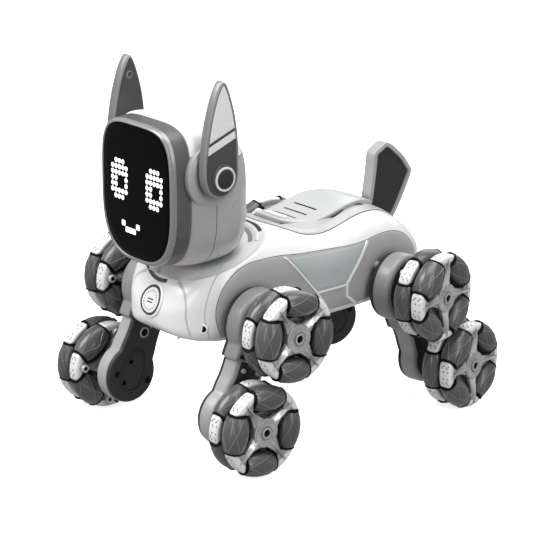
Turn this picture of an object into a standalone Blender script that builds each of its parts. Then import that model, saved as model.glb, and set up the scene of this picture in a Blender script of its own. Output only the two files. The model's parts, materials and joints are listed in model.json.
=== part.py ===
"""Robot dog toy with eight roller wheels: body, swinging legs, turning head, ears and tail.

The toy faces -Y, its left side is +X, +Z is up, and the origin is on the floor under its middle.
Lengths are in millimetres here and become metres when a mesh is made. Helper functions take
points as (side, ahead, up), so "ahead" is -Y.
"""

import math

import bmesh
import bpy
from mathutils import Matrix, Vector

MM = 0.001
GAP = 0.3

# Body form: a rounded hull along the walking direction.
BODY_FRONT, BODY_REAR = 111.0, -108.0
BODY_HALF_WIDTH = 45.2
BODY_REAR_HALF_WIDTH = 39.0
BODY_BOTTOM = 70.5
BODY_SPLIT = 76.5
BODY_WALL = 3.4
PAN_WALL = 2.4
PANEL_DEPTH = 1.5
NECK_AHEAD, NECK_UP, NECK_SLOPE = 67.5, 125.44, math.radians(18.0)
NECK_POST_RADIUS = 9.0

# Head: built on planes parallel to the face, which leans forward at the top.
FACE_AHEAD, FACE_UP, FACE_LEAN = 122.0, 173.0, math.radians(8.0)
BEZEL_DEPTH = 14.0
HEAD_SPLIT_DEPTH = 31.0
HEAD_WALL = 2.5
EAR_INNER, EAR_OUTER = 43.8, 51.0
EAR_PIVOT_AHEAD, EAR_PIVOT_UP = 91.5, 187.5

# Wheels: two rows of four barrel rollers, the inner row turned by 45 degrees.
WHEEL_RADIUS = 30.0
ROLLER_RADIUS = 8.3
ROLLER_HALF_LENGTH = 12.0
ROW_OFFSET = 6.6
ROLLER_PIN_RADIUS = 1.5
PIN_CIRCLE_RADIUS = 24.3  # the pins between neighbouring rollers pass at this distance from the axle
RIM_RADIUS = 29.5
RIM_HALF_THICK = 13.6
HUB_RADIUS = 10.5
AXLE_RADIUS = 2.5

# Legs: each swings about the axle of its upper wheel.
LEG_LENGTH = 63.0
POD_INNER, POD_COVER, POD_OUTER = -36.8, -33.6, -22.8
POD_UPPER_RADIUS, POD_LOWER_RADIUS = 23.0, 20.0
HIP_BOSS_RADIUS = 8.5
LEGS = {
    "front_left": dict(side=82.8, ahead=66.8, up=87.5, heading=0.0, swing=-24.0, phase=-9.0, slide=-2.0),
    "front_right": dict(side=-82.8, ahead=66.8, up=87.5, heading=180.0, swing=24.0, phase=9.0, slide=-2.0),
    "rear_left": dict(side=82.4, ahead=-62.0, up=85.4, heading=10.5, swing=28.5, phase=45.0, slide=3.0),
    "rear_right": dict(side=-82.4, ahead=-62.0, up=85.4, heading=169.5, swing=-28.5, phase=45.0, slide=3.0),
}

TAIL_PIVOT_AHEAD, TAIL_PIVOT_UP = -88.0, 117.0
TAIL_HALF_THICK = 4.5

# The whole toy moves back by this much at the end, so that the origin is under its middle.
CENTRING = -2.45

for old in list(bpy.data.objects):
    bpy.data.objects.remove(old, do_unlink=True)


def material(name, colour, roughness, metallic=0.0):
    made = bpy.data.materials.new(name)
    made.use_nodes = True
    shader = made.node_tree.nodes["Principled BSDF"]
    shader.inputs["Base Color"].default_value = (*colour, 1.0)
    shader.inputs["Roughness"].default_value = roughness
    shader.inputs["Metallic"].default_value = metallic
    return made


WHITE = material("white_gloss", (0.86, 0.86, 0.86), 0.22)
LIGHT_GREY = material("light_grey", (0.38, 0.37, 0.37), 0.4)
COVER_GREY = material("cover_grey", (0.5, 0.5, 0.5), 0.38)
POD_GREY = material("pod_grey", (0.27, 0.27, 0.27), 0.4)
DARK = material("dark_plastic", (0.028, 0.028, 0.028), 0.5)
METAL_GREY = material("bezel_grey", (0.12, 0.12, 0.12), 0.35, 0.3)
BLACK_GLASS = material("black_glass", (0.002, 0.002, 0.002), 0.08)
RUBBER = material("roller_rubber", (0.09, 0.09, 0.09), 0.6)
STEEL = material("steel", (0.5, 0.5, 0.5), 0.3, 1.0)
BOARD_GREEN = material("board_green", (0.02, 0.12, 0.05), 0.5)
BATTERY_BLUE = material("battery_blue", (0.03, 0.07, 0.25), 0.45)


def point(side, ahead, up):
    return Vector((side, -ahead, up))


def new_object(name, vertices, faces, finish, smooth=35.0):
    """An object from points in millimetres and faces, with its normals outward."""
    mesh = bpy.data.meshes.new(name)
    mesh.from_pydata([Vector(v) * MM for v in vertices], [], faces)
    shape = bmesh.new()
    shape.from_mesh(mesh)
    bmesh.ops.recalc_face_normals(shape, faces=shape.faces)
    shape.to_mesh(mesh)
    shape.free()
    mesh.materials.append(finish)
    mesh.shade_smooth()
    mesh.set_sharp_from_angle(angle=math.radians(smooth))
    made = bpy.data.objects.new(name, mesh)
    bpy.context.scene.collection.objects.link(made)
    return made


def loft(name, rings, finish, around=False):
    """A closed body through rings of equal length. around joins the last ring to the first."""
    count = len(rings[0])
    vertices = [v for ring in rings for v in ring]
    last = len(rings) if around else len(rings) - 1
    faces = []
    for i in range(last):
        a, b = i * count, (i + 1) % len(rings) * count
        for j in range(count):
            k = (j + 1) % count
            faces.append((a + j, a + k, b + k, b + j))
    if not around:
        faces.append(tuple(range(count)))
        faces.append(tuple(range(last * count, (last + 1) * count)))
    return new_object(name, vertices, faces, finish)


def helper(made):
    made.hide_render = True
    made.display_type = "WIRE"
    return made


def boolean(target, other, operation="DIFFERENCE"):
    """Cuts or joins with another object, which becomes a hidden helper."""
    helper(other)
    step = target.modifiers.new(other.name, "BOOLEAN")
    step.operation = operation
    step.object = other
    return target


def oval(half_width, low, high, power_low, power_high, count):
    """Points (side, up) of a rounded outline whose upper and lower halves differ."""
    middle = (low + high) / 2
    points = []
    for i in range(count):
        angle = 2 * math.pi * (i + 0.5) / count
        c, s = math.cos(angle), math.sin(angle)
        power = power_high if s > 0 else power_low
        half = (high - low) / 2
        side = half_width * math.copysign(abs(c) ** (2 / power), c)
        points.append((side, middle + half * math.copysign(abs(s) ** (2 / power), s)))
    return points


def prism(name, outline, low, high, finish, axis="side"):
    """An outline pushed along one axis. The outline is (ahead, up) for side and (side, ahead) for up."""
    rings = []
    for level in (low, high):
        if axis == "side":
            rings.append([point(level, a, b) for a, b in outline])
        elif axis == "up":
            rings.append([point(a, b, level) for a, b in outline])
        else:
            rings.append([point(a, level, b) for a, b in outline])
    return loft(name, rings, finish)


def circle(radius, count, centre=(0.0, 0.0), start=0.0):
    turns = [start + 2 * math.pi * i / count for i in range(count)]
    return [(centre[0] + radius * math.cos(t), centre[1] + radius * math.sin(t)) for t in turns]


def box_outline(a0, a1, b0, b1):
    return [(a0, b0), (a1, b0), (a1, b1), (a0, b1)]


def turned(name, profile, count, finish, axis="X"):
    """A closed ring or solid of revolution about a local axis. profile is (along, radius) points."""
    hollow = all(r > 0 for _, r in profile)
    rings = []
    for i in range(count):
        angle = 2 * math.pi * i / count
        ring = []
        for along, radius in profile:
            u, v = radius * math.cos(angle), radius * math.sin(angle)
            ring.append(Vector((along, u, v)) if axis == "X" else Vector((u, v, along)))
        rings.append(ring)
    if hollow:
        return loft(name, rings, finish, around=True)
    made = loft(name, rings, finish, around=True)
    shape = bmesh.new()
    shape.from_mesh(made.data)
    bmesh.ops.remove_doubles(shape, verts=shape.verts, dist=1e-6)
    bmesh.ops.dissolve_degenerate(shape, edges=shape.edges, dist=1e-6)
    bmesh.ops.recalc_face_normals(shape, faces=shape.faces)
    shape.to_mesh(made.data)
    shape.free()
    return made


def place(made, matrix):
    made.matrix_world = matrix
    return made


def frame_at(side, ahead, up, turn=None):
    moved = Matrix.Translation(point(side, ahead, up) * MM)
    return moved @ turn if turn is not None else moved


# ---- body ----

def body_top(ahead):
    """Height of the back along the middle: sloped under the head, then a saddle, then the rump."""
    slope = NECK_UP - 0.6 - math.tan(NECK_SLOPE) * (ahead - NECK_AHEAD)
    saddle = 133.5 - 3.0 * math.cos((ahead + 5.0) / 38.0 * math.pi)
    if ahead < -43.0:
        saddle = 136.5 - 0.0075 * (ahead + 43.0) ** 2
    return min(slope, saddle)


def body_half_width(ahead):
    if ahead > -30.0:
        return BODY_HALF_WIDTH
    share = (ahead + 30.0) / (BODY_REAR + 30.0)
    return BODY_HALF_WIDTH + (BODY_REAR_HALF_WIDTH - BODY_HALF_WIDTH) * share


def body_form(name, inset, finish, stretch=0.0, count=22):
    """The hull, made smaller all round by inset."""
    stations = [-1.0, -0.98, -0.92, -0.8, -0.6, -0.37, -0.14, 0.1, 0.3, 0.55, 0.75, 0.9, 0.98, 1.0]
    middle, half = (BODY_FRONT + BODY_REAR) / 2, (BODY_FRONT - BODY_REAR) / 2
    rings = []
    for s in stations:
        true_ahead = middle + half * s
        ahead = middle + (half - inset) * s
        shrink = max(0.03, 1 - abs(s) ** (8.0 if s > 0 else 6.0)) ** 0.4
        top, low = body_top(true_ahead) + stretch, BODY_BOTTOM
        centre = (top + low) / 2 + (0.0 if s > 0 else 2.0) * abs(s) ** 4
        half_up = (top - low) / 2 * shrink - inset
        width = body_half_width(true_ahead) * shrink - inset
        ring = oval(width, centre - half_up, centre + half_up, 8.0, 3.2, count)
        rings.append([point(side, ahead, up) for side, up in ring])
    return loft(name, rings, finish)


def arc(centre, radius, start, end, count):
    steps = [math.radians(start + (end - start) * i / (count - 1)) for i in range(count)]
    return [(centre[0] + radius * math.cos(t), centre[1] + radius * math.sin(t)) for t in steps]


def grown(outline, by):
    """The outline moved outwards from its middle by about a distance."""
    middle = (sum(a for a, _ in outline) / len(outline), sum(b for _, b in outline) / len(outline))
    moved = []
    for a, b in outline:
        far = math.hypot(a - middle[0], b - middle[1])
        moved.append((a + (a - middle[0]) / far * by, b + (b - middle[1]) / far * by))
    return moved


PANEL_OUTLINE = (
    arc((60.0, 94.5), 29.5, -25.0, 100.0, 9)
    + [(36.0, 125.0), (4.0, 120.5), (-20.0, 118.0), (-36.0, 119.5), (-62.0, 118.0), (-80.0, 110.0)]
    + [(-88.0, 98.0), (-90.0, 78.0), (86.0, 78.0)]
)
BACK_NEAR_HALF = [(0.0, 22.0), (10.0, 20.5), (18.0, 17.0), (30.0, 10.0), (30.5, -12.0), (30.0, -34.0),
                  (26.5, -54.0), (20.0, -78.0), (13.0, -88.0), (0.0, -90.0)]
BACK_OUTLINE = BACK_NEAR_HALF + [(-side, ahead) for side, ahead in BACK_NEAR_HALF[-2:0:-1]]
VENT_HALF_LENGTH, VENTS_AHEAD = 10.0, (-8.0, -16.0)
BUTTON_AHEAD, BUTTON_HALF_LENGTH, BUTTON_HALF_WIDTH = 4.0, 9.5, 3.2


def capsule(grow, ahead):
    """The back button's outline, (side, ahead): straight sides with round ends."""
    radius = BUTTON_HALF_WIDTH + grow
    reach = BUTTON_HALF_LENGTH - BUTTON_HALF_WIDTH
    right = arc((reach, ahead), radius, -90.0, 90.0, 5)
    return right + arc((-reach, ahead), radius, 90.0, 270.0, 5)


def hip_matrix(leg, at=0.0):
    """The hip's place, with local +X outward and at as a distance along it."""
    turn = Matrix.Rotation(math.radians(leg["heading"]), 4, "Z")
    return frame_at(leg["side"], leg["ahead"], leg["up"]) @ turn @ Matrix.Translation((at * MM, 0, 0))


def hip_hole(name, leg):
    radius = HIP_BOSS_RADIUS + 0.4
    hole = turned(name, [(-60, 0), (-60, radius), (-25, radius), (-25, 0)], 16, DARK)
    return place(hole, hip_matrix(leg))


def neck_matrix(along=0.0):
    turn = Matrix.Rotation(NECK_SLOPE, 4, "X")
    return frame_at(0, NECK_AHEAD, NECK_UP) @ turn @ Matrix.Translation((0, 0, along * MM))


def panel_cutter(name, sign):
    outline = grown(PANEL_OUTLINE, GAP)
    cutter = prism(name, outline, sign * 20.0, sign * 60.0, LIGHT_GREY)
    return boolean(cutter, body_form(name + "_core", PANEL_DEPTH + GAP, LIGHT_GREY))


def build_body():
    shell = body_form("body_shell", 0.0, WHITE)
    boolean(shell, body_form("shell_hollow", BODY_WALL, WHITE))
    under = prism("shell_underside", box_outline(-80, 80, -130, 130), 40.0, BODY_SPLIT + GAP, DARK, "up")
    boolean(shell, under)
    boolean(shell, panel_cutter("left_panel_recess", 1))
    boolean(shell, panel_cutter("right_panel_recess", -1))
    back = prism("back_opening", grown(BACK_OUTLINE, GAP), 100.0, 160.0, WHITE, "up")
    boolean(back, body_form("back_core", PANEL_DEPTH + GAP, WHITE))
    boolean(shell, back)
    radius = NECK_POST_RADIUS + 0.5
    neck = turned("neck_hole", [(-20, 0), (-20, radius), (20, radius), (20, 0)], 24, DARK, "Z")
    boolean(shell, place(neck, neck_matrix()))
    boolean(shell, prism("tail_slot", box_outline(-107, -72, 104, 160), -6.0, 6.0, DARK))
    boolean(shell, prism("badge_seat", circle(11.4, 24, (0, 99)), 109.4, 125.0, DARK, "ahead"))
    boolean(shell, prism("speaker_grille_hole", box_outline(-11, 11, -20, -4), 110.0, 150.0, DARK, "up"))
    stem_hole = circle(2.8, 12, (0, BUTTON_AHEAD))
    boolean(shell, prism("button_hole", stem_hole, 110.0, 150.0, DARK, "up"))
    for name, leg in LEGS.items():
        boolean(shell, hip_hole(name + "_shell_hole", leg))

    pan = body_form("belly_pan", 0.0, DARK)
    boolean(pan, body_form("pan_hollow", PAN_WALL, DARK))
    boolean(pan, prism("pan_upper_side", box_outline(-80, 80, -130, 130), BODY_SPLIT, 190.0, DARK, "up"))
    boolean(pan, prism("battery_opening", box_outline(-22.3, 22.3, -38.3, 20.3), 60.0, 80.0, DARK, "up"))
    boolean(pan, prism("switch_opening", box_outline(-4.5, 4.5, 32.0, 42.0), 60.0, 80.0, DARK, "up"))

    for side_name, sign in (("left", 1), ("right", -1)):
        panel = body_form(side_name + "_side_panel", 0.0, LIGHT_GREY)
        region = prism(side_name + "_panel_region", PANEL_OUTLINE, sign * 20.0, sign * 60.0, LIGHT_GREY)
        boolean(panel, region, "INTERSECT")
        boolean(panel, body_form(side_name + "_panel_core", PANEL_DEPTH, LIGHT_GREY))
        for end in ("front", "rear"):
            leg = LEGS[end + "_" + side_name]
            boolean(panel, hip_hole(f"{end}_{side_name}_panel_hole", leg))

    cover = body_form("back_cover", -0.8, COVER_GREY, stretch=0.6)
    boolean(cover, prism("cover_region", BACK_OUTLINE, 100.0, 160.0, COVER_GREY, "up"), "INTERSECT")
    boolean(cover, body_form("cover_core", PANEL_DEPTH, COVER_GREY))
    boolean(cover, prism("cover_tail_slot", box_outline(-107, -72, 104, 160), -6.0, 6.0, DARK))
    for i, ahead in enumerate(VENTS_AHEAD):
        slot = box_outline(-VENT_HALF_LENGTH, VENT_HALF_LENGTH, ahead - 1, ahead + 1)
        boolean(cover, prism(f"vent_{i}", slot, 110.0, 160.0, DARK, "up"))
    boolean(cover, prism("cover_button_hole", capsule(0.4, BUTTON_AHEAD), 110.0, 160.0, DARK, "up"))

    top = body_top(BUTTON_AHEAD)
    button = prism("back_button", capsule(0.0, 0.0), 0.9, 4.0, WHITE, "up")
    stem = prism("button_stem", circle(2.2, 10), -8.0, 1.5, WHITE, "up")
    place(button, frame_at(0, BUTTON_AHEAD, top))
    boolean(button, place(stem, frame_at(0, BUTTON_AHEAD, top)), "UNION")

    prism("chest_badge", circle(11.0, 24, (0, 99)), 109.7, 110.9, METAL_GREY, "ahead")


def build_inside():
    prism("battery_cover", box_outline(-22, 22, -38, 20), BODY_BOTTOM + 0.2, 73.2, DARK, "up")
    prism("battery_pack", box_outline(-19, 19, -34, 16), 75.6, 93.0, BATTERY_BLUE, "up")
    prism("circuit_board", box_outline(-30, 30, -30, 40), 97.0, 98.6, BOARD_GREEN, "up")
    slider = turned("power_switch", [(0, 0), (0, 3), (5, 3), (5, 0)], 8, DARK, "Z")
    place(slider, frame_at(0, 37, 70.2))
    speaker = [(0, 0), (0, 13), (4, 14), (4, 16), (6, 16), (6, 0)]
    place(turned("speaker", speaker, 16, DARK, "Z"), frame_at(0, -12, 112.0))
    front, rear = LEGS["front_left"], LEGS["rear_left"]
    for name, leg, half, ahead in (
        ("front_leg_gearbox", front, 28, front["ahead"]),
        ("rear_leg_gearbox", rear, 24, rear["ahead"] + 9),
    ):
        outline = box_outline(ahead - 12, ahead + 12, leg["up"] - 6.5, leg["up"] + 10)
        prism(name, outline, -half, half, POD_GREY)
    ring = [(-12, NECK_POST_RADIUS + GAP), (-12, 14), (-7, 14), (-7, NECK_POST_RADIUS + GAP)]
    place(turned("neck_bearing", ring, 24, POD_GREY, "Z"), neck_matrix())


# ---- head ----

def head_point(side, depth, up):
    """A point from the face frame: depth goes back from the face and up runs along it."""
    c, s = math.cos(FACE_LEAN), math.sin(FACE_LEAN)
    return point(side, FACE_AHEAD - depth * c + up * s, FACE_UP + depth * s + up * c)


SCREEN = dict(half_width=34.5, low=-45.5, high=45.0)
HEAD_SECTIONS = [
    # depth, half width, low, high
    (BEZEL_DEPTH + GAP, 38.6, -49.0, 45.5),
    (22.0, 41.6, -52.0, 44.5),
    (HEAD_SPLIT_DEPTH, 43.2, -54.0, 43.0),
    (44.0, 42.8, -56.0, 39.5),
    (56.0, 39.0, -54.0, 33.5),
    (64.0, 33.0, -48.0, 26.0),
    (69.0, 23.0, -38.0, 15.0),
    (71.0, 12.0, -26.0, 4.0),
]


def face_ring(depth, half_width, low, high, count=32):
    """An outline on a plane parallel to the face: squarish above, a deep U below."""
    return [head_point(side, depth, up) for side, up in oval(half_width, low, high, 2.5, 4.2, count)]


def split_at(sections, depth):
    """The section at a depth, between its neighbours."""
    for before, after in zip(sections, sections[1:]):
        if before[0] <= depth <= after[0]:
            share = (depth - before[0]) / (after[0] - before[0])
            return tuple(a + (b - a) * share for a, b in zip(before, after))
    return sections[-1]


def head_shell(name, first, last, finish, closed):
    """A wall between two depths, open at the front and, unless closed, at the back."""
    depths = [first] + [s[0] for s in HEAD_SECTIONS if first < s[0] < last] + [last]
    outer, inner = [], []
    for depth in depths:
        _, half, low, high = split_at(HEAD_SECTIONS, depth)
        outer.append(face_ring(depth, half, low, high))
        if not (closed and depth > HEAD_SECTIONS[-3][0]):
            inner.append(face_ring(depth - (HEAD_WALL if closed and depth != first else 0),
                                   half - HEAD_WALL, low + HEAD_WALL, high - HEAD_WALL))
    if not closed:
        return loft(name, outer + inner[::-1], finish, around=True)
    rings = outer + [None] + inner
    vertices = [v for ring in rings if ring for v in ring]
    count = len(outer[0])
    faces = []

    def wall(a, b):
        for j in range(count):
            k = (j + 1) % count
            faces.append((a + j, a + k, b + k, b + j))

    for i in range(len(outer) - 1):
        wall(i * count, (i + 1) * count)
    base = len(outer) * count
    for i in range(len(inner) - 1):
        wall(base + i * count, base + (i + 1) * count)
    wall(0, base)
    faces.append(tuple(range(base - count, base)))
    faces.append(tuple(range(base + (len(inner) - 1) * count, base + len(inner) * count)))
    return new_object(name, vertices, faces, finish)


def below_neck_plane(name):
    """Everything under the sloped plane that the head turns on."""
    slab = prism(name, box_outline(-70, 70, -90, 90), -70.0, 0.5, DARK, "up")
    return place(slab, neck_matrix())


EAR_OUTLINE = arc((93.0, 188.5), 13.8, 180.0, 360.0, 9) + [
    (106.0, 207.0), (102.5, 225.0), (97.5, 240.0), (93.8, 247.5), (91.0, 249.5),
    (88.0, 247.0), (82.5, 234.0), (79.4, 214.0),
]


def build_head():
    wide = dict(half_width=37.2, low=-48.6, high=47.0)
    slot = dict(half_width=SCREEN["half_width"] + GAP, low=SCREEN["low"] - GAP, high=SCREEN["high"] + GAP)
    rings = [
        face_ring(0.0, wide["half_width"] - 1.0, wide["low"] + 1.0, wide["high"] - 1.0),
        face_ring(1.5, **wide),
        face_ring(BEZEL_DEPTH, wide["half_width"] + 1.2, wide["low"] - 0.6, wide["high"] - 0.8),
        face_ring(BEZEL_DEPTH, **slot),
        face_ring(0.0, **slot),
    ]
    bezel = loft("face_bezel", rings, METAL_GREY, around=True)
    boolean(bezel, below_neck_plane("bezel_trim"))
    loft("face_screen", [face_ring(0.8, **SCREEN), face_ring(2.8, **SCREEN)], BLACK_GLASS)
    small = dict(half_width=28.0, low=-36.0, high=36.0)
    loft("led_board", [face_ring(3.2, **small), face_ring(4.8, **small)], BOARD_GREEN)

    front = head_shell("head_front_shell", BEZEL_DEPTH + GAP, HEAD_SPLIT_DEPTH, WHITE, closed=False)
    boolean(front, below_neck_plane("front_shell_trim"))
    rear = head_shell("head_rear_shell", HEAD_SPLIT_DEPTH + GAP, HEAD_SECTIONS[-1][0], WHITE, closed=True)
    boolean(rear, below_neck_plane("rear_shell_trim"))
    post = [(-18, 0), (-18, NECK_POST_RADIUS), (0.2, NECK_POST_RADIUS), (0.2, 0)]
    place(turned("neck_post", post, 24, DARK, "Z"), neck_matrix())

    for side_name, sign in (("left", 1), ("right", -1)):
        pivot = frame_at(sign * EAR_INNER, EAR_PIVOT_AHEAD, EAR_PIVOT_UP)
        local = [(a - EAR_PIVOT_AHEAD, b - EAR_PIVOT_UP) for a, b in EAR_OUTLINE]
        ear = prism(side_name + "_ear", local, 0.0, sign * (EAR_OUTER - EAR_INNER), METAL_GREY)
        place(ear, pivot)
        bore = prism(side_name + "_ear_bore", circle(3.3, 16), sign * -2.0, sign * 12.0, DARK)
        boolean(ear, place(bore, pivot))
        cap = [(0, 0), (0, 3), (7.5, 3), (7.5, 8.5), (8.8, 8.0), (8.8, 0)]
        cap = [(sign * along, radius) for along, radius in cap]
        place(turned(side_name + "_ear_button", cap, 20, DARK), pivot)


# ---- tail ----

def build_tail():
    outline = [
        (-75.5, 129.0), (-79.5, 161.0), (-91.5, 168.5), (-107.5, 157.0), (-115.0, 145.0), (-102.5, 122.0),
    ] + arc((TAIL_PIVOT_AHEAD, TAIL_PIVOT_UP), 8.5, -30.0 - 180.0, 20.0, 7)
    tail = prism("tail", [(a - TAIL_PIVOT_AHEAD, b - TAIL_PIVOT_UP) for a, b in outline],
                 -TAIL_HALF_THICK, TAIL_HALF_THICK, POD_GREY)
    pivot = frame_at(0, TAIL_PIVOT_AHEAD, TAIL_PIVOT_UP)
    place(tail, pivot)
    boolean(tail, place(prism("tail_bore", circle(2.3, 12), -10.0, 10.0, DARK), pivot))
    place(turned("tail_pin", [(-5.7, 0), (-5.7, 2), (5.7, 2), (5.7, 0)], 12, STEEL), pivot)


# ---- legs and wheels ----

def pod_outline(grow):
    """The leg's outline on its own plane, (across, along): a round top, a collar step and a round foot."""
    upper = POD_UPPER_RADIUS + grow
    lower = POD_LOWER_RADIUS + grow
    half = arc((0, 0), upper, 90.0, -38.0, 7)
    half += [(16.0 + grow, -27.0 - grow), (13.5 + grow, -27.0 - grow), (13.5 + grow, -33.0)]
    half += arc((0, -LEG_LENGTH), lower, 42.0, -90.0, 7)
    mirrored = [(-across, along) for across, along in half[-2:0:-1]]
    return half + mirrored


def leg_ring(x, grow):
    return [Vector((x, across, along)) for across, along in pod_outline(grow)]


def leg_meshes():
    """The shell, cover and lower axle that all four legs share, as objects at the origin."""
    floor = 2.2
    shell = loft("leg_shell", [
        leg_ring(POD_COVER + GAP, 0.0), leg_ring(POD_OUTER - 1.5, 0.0), leg_ring(POD_OUTER, -1.5),
    ], POD_GREY)
    wall = 2.4
    hollow = [leg_ring(POD_COVER - 5, -wall), leg_ring(POD_OUTER - floor, -wall)]
    boolean(shell, loft("leg_hollow", hollow, POD_GREY))
    cover = loft("leg_cover", [
        leg_ring(POD_INNER, -2.0), leg_ring(POD_INNER + 1.2, -0.6), leg_ring(POD_COVER, -0.6),
    ], DARK)
    for piece in (shell, cover):
        bore = turned(piece.name + "_hip_bore", [(-60, 0), (-60, 5.3), (0, 5.3), (0, 0)], 16, DARK)
        boolean(piece, bore)
    radius = AXLE_RADIUS + GAP
    lower_bore = turned("lower_bore", [(-30, 0), (-30, radius), (0, radius), (0, 0)], 12, DARK)
    boolean(shell, place(lower_bore, Matrix.Translation((0, 0, -LEG_LENGTH * MM))))
    return shell, cover


def roller_rings():
    """One row's rollers and pins as (row angle, distance along the roller, radius) sections.

    A radius of None stands for the barrel's own radius there."""
    sections = []
    for i in range(4):
        centre = i * math.pi / 2
        sections.append((centre, -ROLLER_HALF_LENGTH - 0.2, ROLLER_PIN_RADIUS))
        for t in (-ROLLER_HALF_LENGTH, 0.0, ROLLER_HALF_LENGTH):
            sections.append((centre, t, None))
        sections.append((centre, ROLLER_HALF_LENGTH + 0.2, ROLLER_PIN_RADIUS))
    return sections


def roller_row(name, x, phase):
    axis_radius = WHEEL_RADIUS - ROLLER_RADIUS
    sides = 7
    rings = []
    for centre, t, radius in roller_rings():
        if radius is None:
            radius = math.sqrt(WHEEL_RADIUS ** 2 - t ** 2) - axis_radius
        out = Vector((0, math.cos(centre + phase), math.sin(centre + phase)))
        along = Vector((0, -out.z, out.y))
        middle = out * axis_radius + along * t + Vector((x, 0, 0))
        ring = []
        for j in range(sides):
            turn = 2 * math.pi * j / sides
            across = Vector((radius * math.sin(turn), 0, 0))
            ring.append(middle + out * radius * math.cos(turn) + across)
        rings.append(ring)
    return loft(name, rings, RUBBER, around=True)


def spider(name, x0, x1, phase):
    """One row's hub disc, four arms and four rim blocks, as one flat outline with thickness."""
    edge = ROLLER_HALF_LENGTH + 0.7
    corner = math.atan2(edge, math.sqrt(RIM_RADIUS ** 2 - edge ** 2))
    outline = []
    for i in range(4):
        turn = i * math.pi / 2 + phase
        c, s = math.cos(turn), math.sin(turn)
        arm = 3.0
        u = edge * math.sqrt(2) + arm
        local = [(math.sqrt(HUB_RADIUS ** 2 - arm ** 2), -arm), (u, -arm)]
        half = math.pi / 4 - corner
        for a in (-half, 0.0, half):
            local.append((RIM_RADIUS * math.cos(a), RIM_RADIUS * math.sin(a)))
        local += [(u, arm), (math.sqrt(HUB_RADIUS ** 2 - arm ** 2), arm)]
        hub = [(HUB_RADIUS * math.cos(math.pi / 4), HUB_RADIUS * math.sin(math.pi / 4))]
        outline += [(c * a - s * b, s * a + c * b) for a, b in local + hub]
    rings = [[Vector((x, a, b)) for a, b in outline] for x in (x0, x1)]
    return loft(name, rings, WHITE)


def wheel_meshes():
    """The hub and the roller set that all eight wheels share."""
    hub = spider("wheel_hub", 0.0, RIM_HALF_THICK, math.pi / 4)
    boolean(hub, spider("hub_inner_half", -RIM_HALF_THICK, 0.5, 0.0), "UNION")
    slot_low, slot_high = PIN_CIRCLE_RADIUS - 2.3, PIN_CIRCLE_RADIUS + 2.3
    channel = [(-9, slot_low), (-9, slot_high), (-2.1, slot_high), (-2.1, 34), (2.1, 34), (2.1, slot_high),
               (9, slot_high), (9, slot_low), (2.1, slot_low), (2.1, 11.2), (-2.1, 11.2), (-2.1, slot_low)]
    boolean(hub, turned("hub_channel", channel, 16, DARK))
    radius = AXLE_RADIUS + GAP
    boolean(hub, turned("hub_bore", [(-20, 0), (-20, radius), (20, radius), (20, 0)], 8, DARK))

    rollers = roller_row("wheel_rollers", ROW_OFFSET, 0.0)
    boolean(rollers, roller_row("inner_row", -ROW_OFFSET, math.pi / 4), "UNION")
    for i, turn in enumerate((math.pi / 4, math.pi * 5 / 4)):
        post = prism(f"row_post_{i}", circle(1.4, 6), -1.0, ROW_OFFSET, DARK)
        middle = Vector((0, math.cos(turn), math.sin(turn))) * PIN_CIRCLE_RADIUS * MM
        boolean(rollers, place(post, Matrix.Translation(middle)), "UNION")
    return hub, rollers


def copy_of(source, name, matrix):
    """A new object that has the source's mesh with its modifiers already worked in."""
    made = bpy.data.objects.new(name, source.data)
    bpy.context.scene.collection.objects.link(made)
    return place(made, matrix)


def settle(made):
    """Works the modifiers into the mesh, so that copies can share it."""
    graph = bpy.context.evaluated_depsgraph_get()
    mesh = bpy.data.meshes.new_from_object(made.evaluated_get(graph))
    made.modifiers.clear()
    made.data = mesh
    return helper(made)


def build_legs():
    shell, cover = (settle(piece) for piece in leg_meshes())
    hub, rollers = (settle(piece) for piece in wheel_meshes())
    boss_end, neck_end = POD_INNER - 0.4, POD_OUTER + 1.5
    hip = [(-52, 0), (-52, HIP_BOSS_RADIUS), (boss_end, HIP_BOSS_RADIUS), (boss_end, 5), (neck_end, 5),
           (neck_end, AXLE_RADIUS), (15.2, AXLE_RADIUS), (15.2, 0)]
    hip_axle = settle(turned("hip_axle", hip, 16, STEEL))
    head_end, flange = POD_COVER + 1.0, POD_OUTER - 2.6
    low_axle = [(head_end, 0), (head_end, 4.5), (flange, 4.5), (flange, AXLE_RADIUS),
                (17.0, AXLE_RADIUS), (17.0, 0)]
    lower_axle = settle(turned("lower_axle", low_axle, 12, STEEL))
    for name, leg in LEGS.items():
        hip_place = hip_matrix(leg)
        leg_place = hip_place @ Matrix.Rotation(math.radians(leg["swing"]), 4, "X")
        foot_place = leg_place @ Matrix.Translation((0, 0, -LEG_LENGTH * MM))
        phase = Matrix.Rotation(math.radians(leg["phase"]), 4, "X")
        level = Matrix.Rotation(math.radians(-leg["swing"]), 4, "X")
        copy_of(hip_axle, name + "_hip_axle", hip_place)
        copy_of(shell, name + "_leg_shell", leg_place)
        copy_of(cover, name + "_leg_cover", leg_place)
        copy_of(lower_axle, name + "_lower_axle", foot_place)
        for level_name, wheel_place in (
            ("upper", hip_place),
            ("lower", foot_place @ level @ Matrix.Translation((leg["slide"] * MM, 0, 0))),
        ):
            copy_of(hub, f"{name}_{level_name}_wheel_hub", wheel_place @ phase)
            copy_of(rollers, f"{name}_{level_name}_wheel_rollers", wheel_place @ phase)


build_body()
build_inside()
build_head()
build_tail()
build_legs()

for piece in ("face_bezel", "face_screen", "led_board", "head_front_shell", "head_rear_shell"):
    on_axis = bpy.data.objects[piece]
    on_axis.data.transform(neck_matrix().inverted())
    place(on_axis, neck_matrix())
for made in bpy.data.objects:
    made.location.y -= CENTRING * MM
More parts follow.
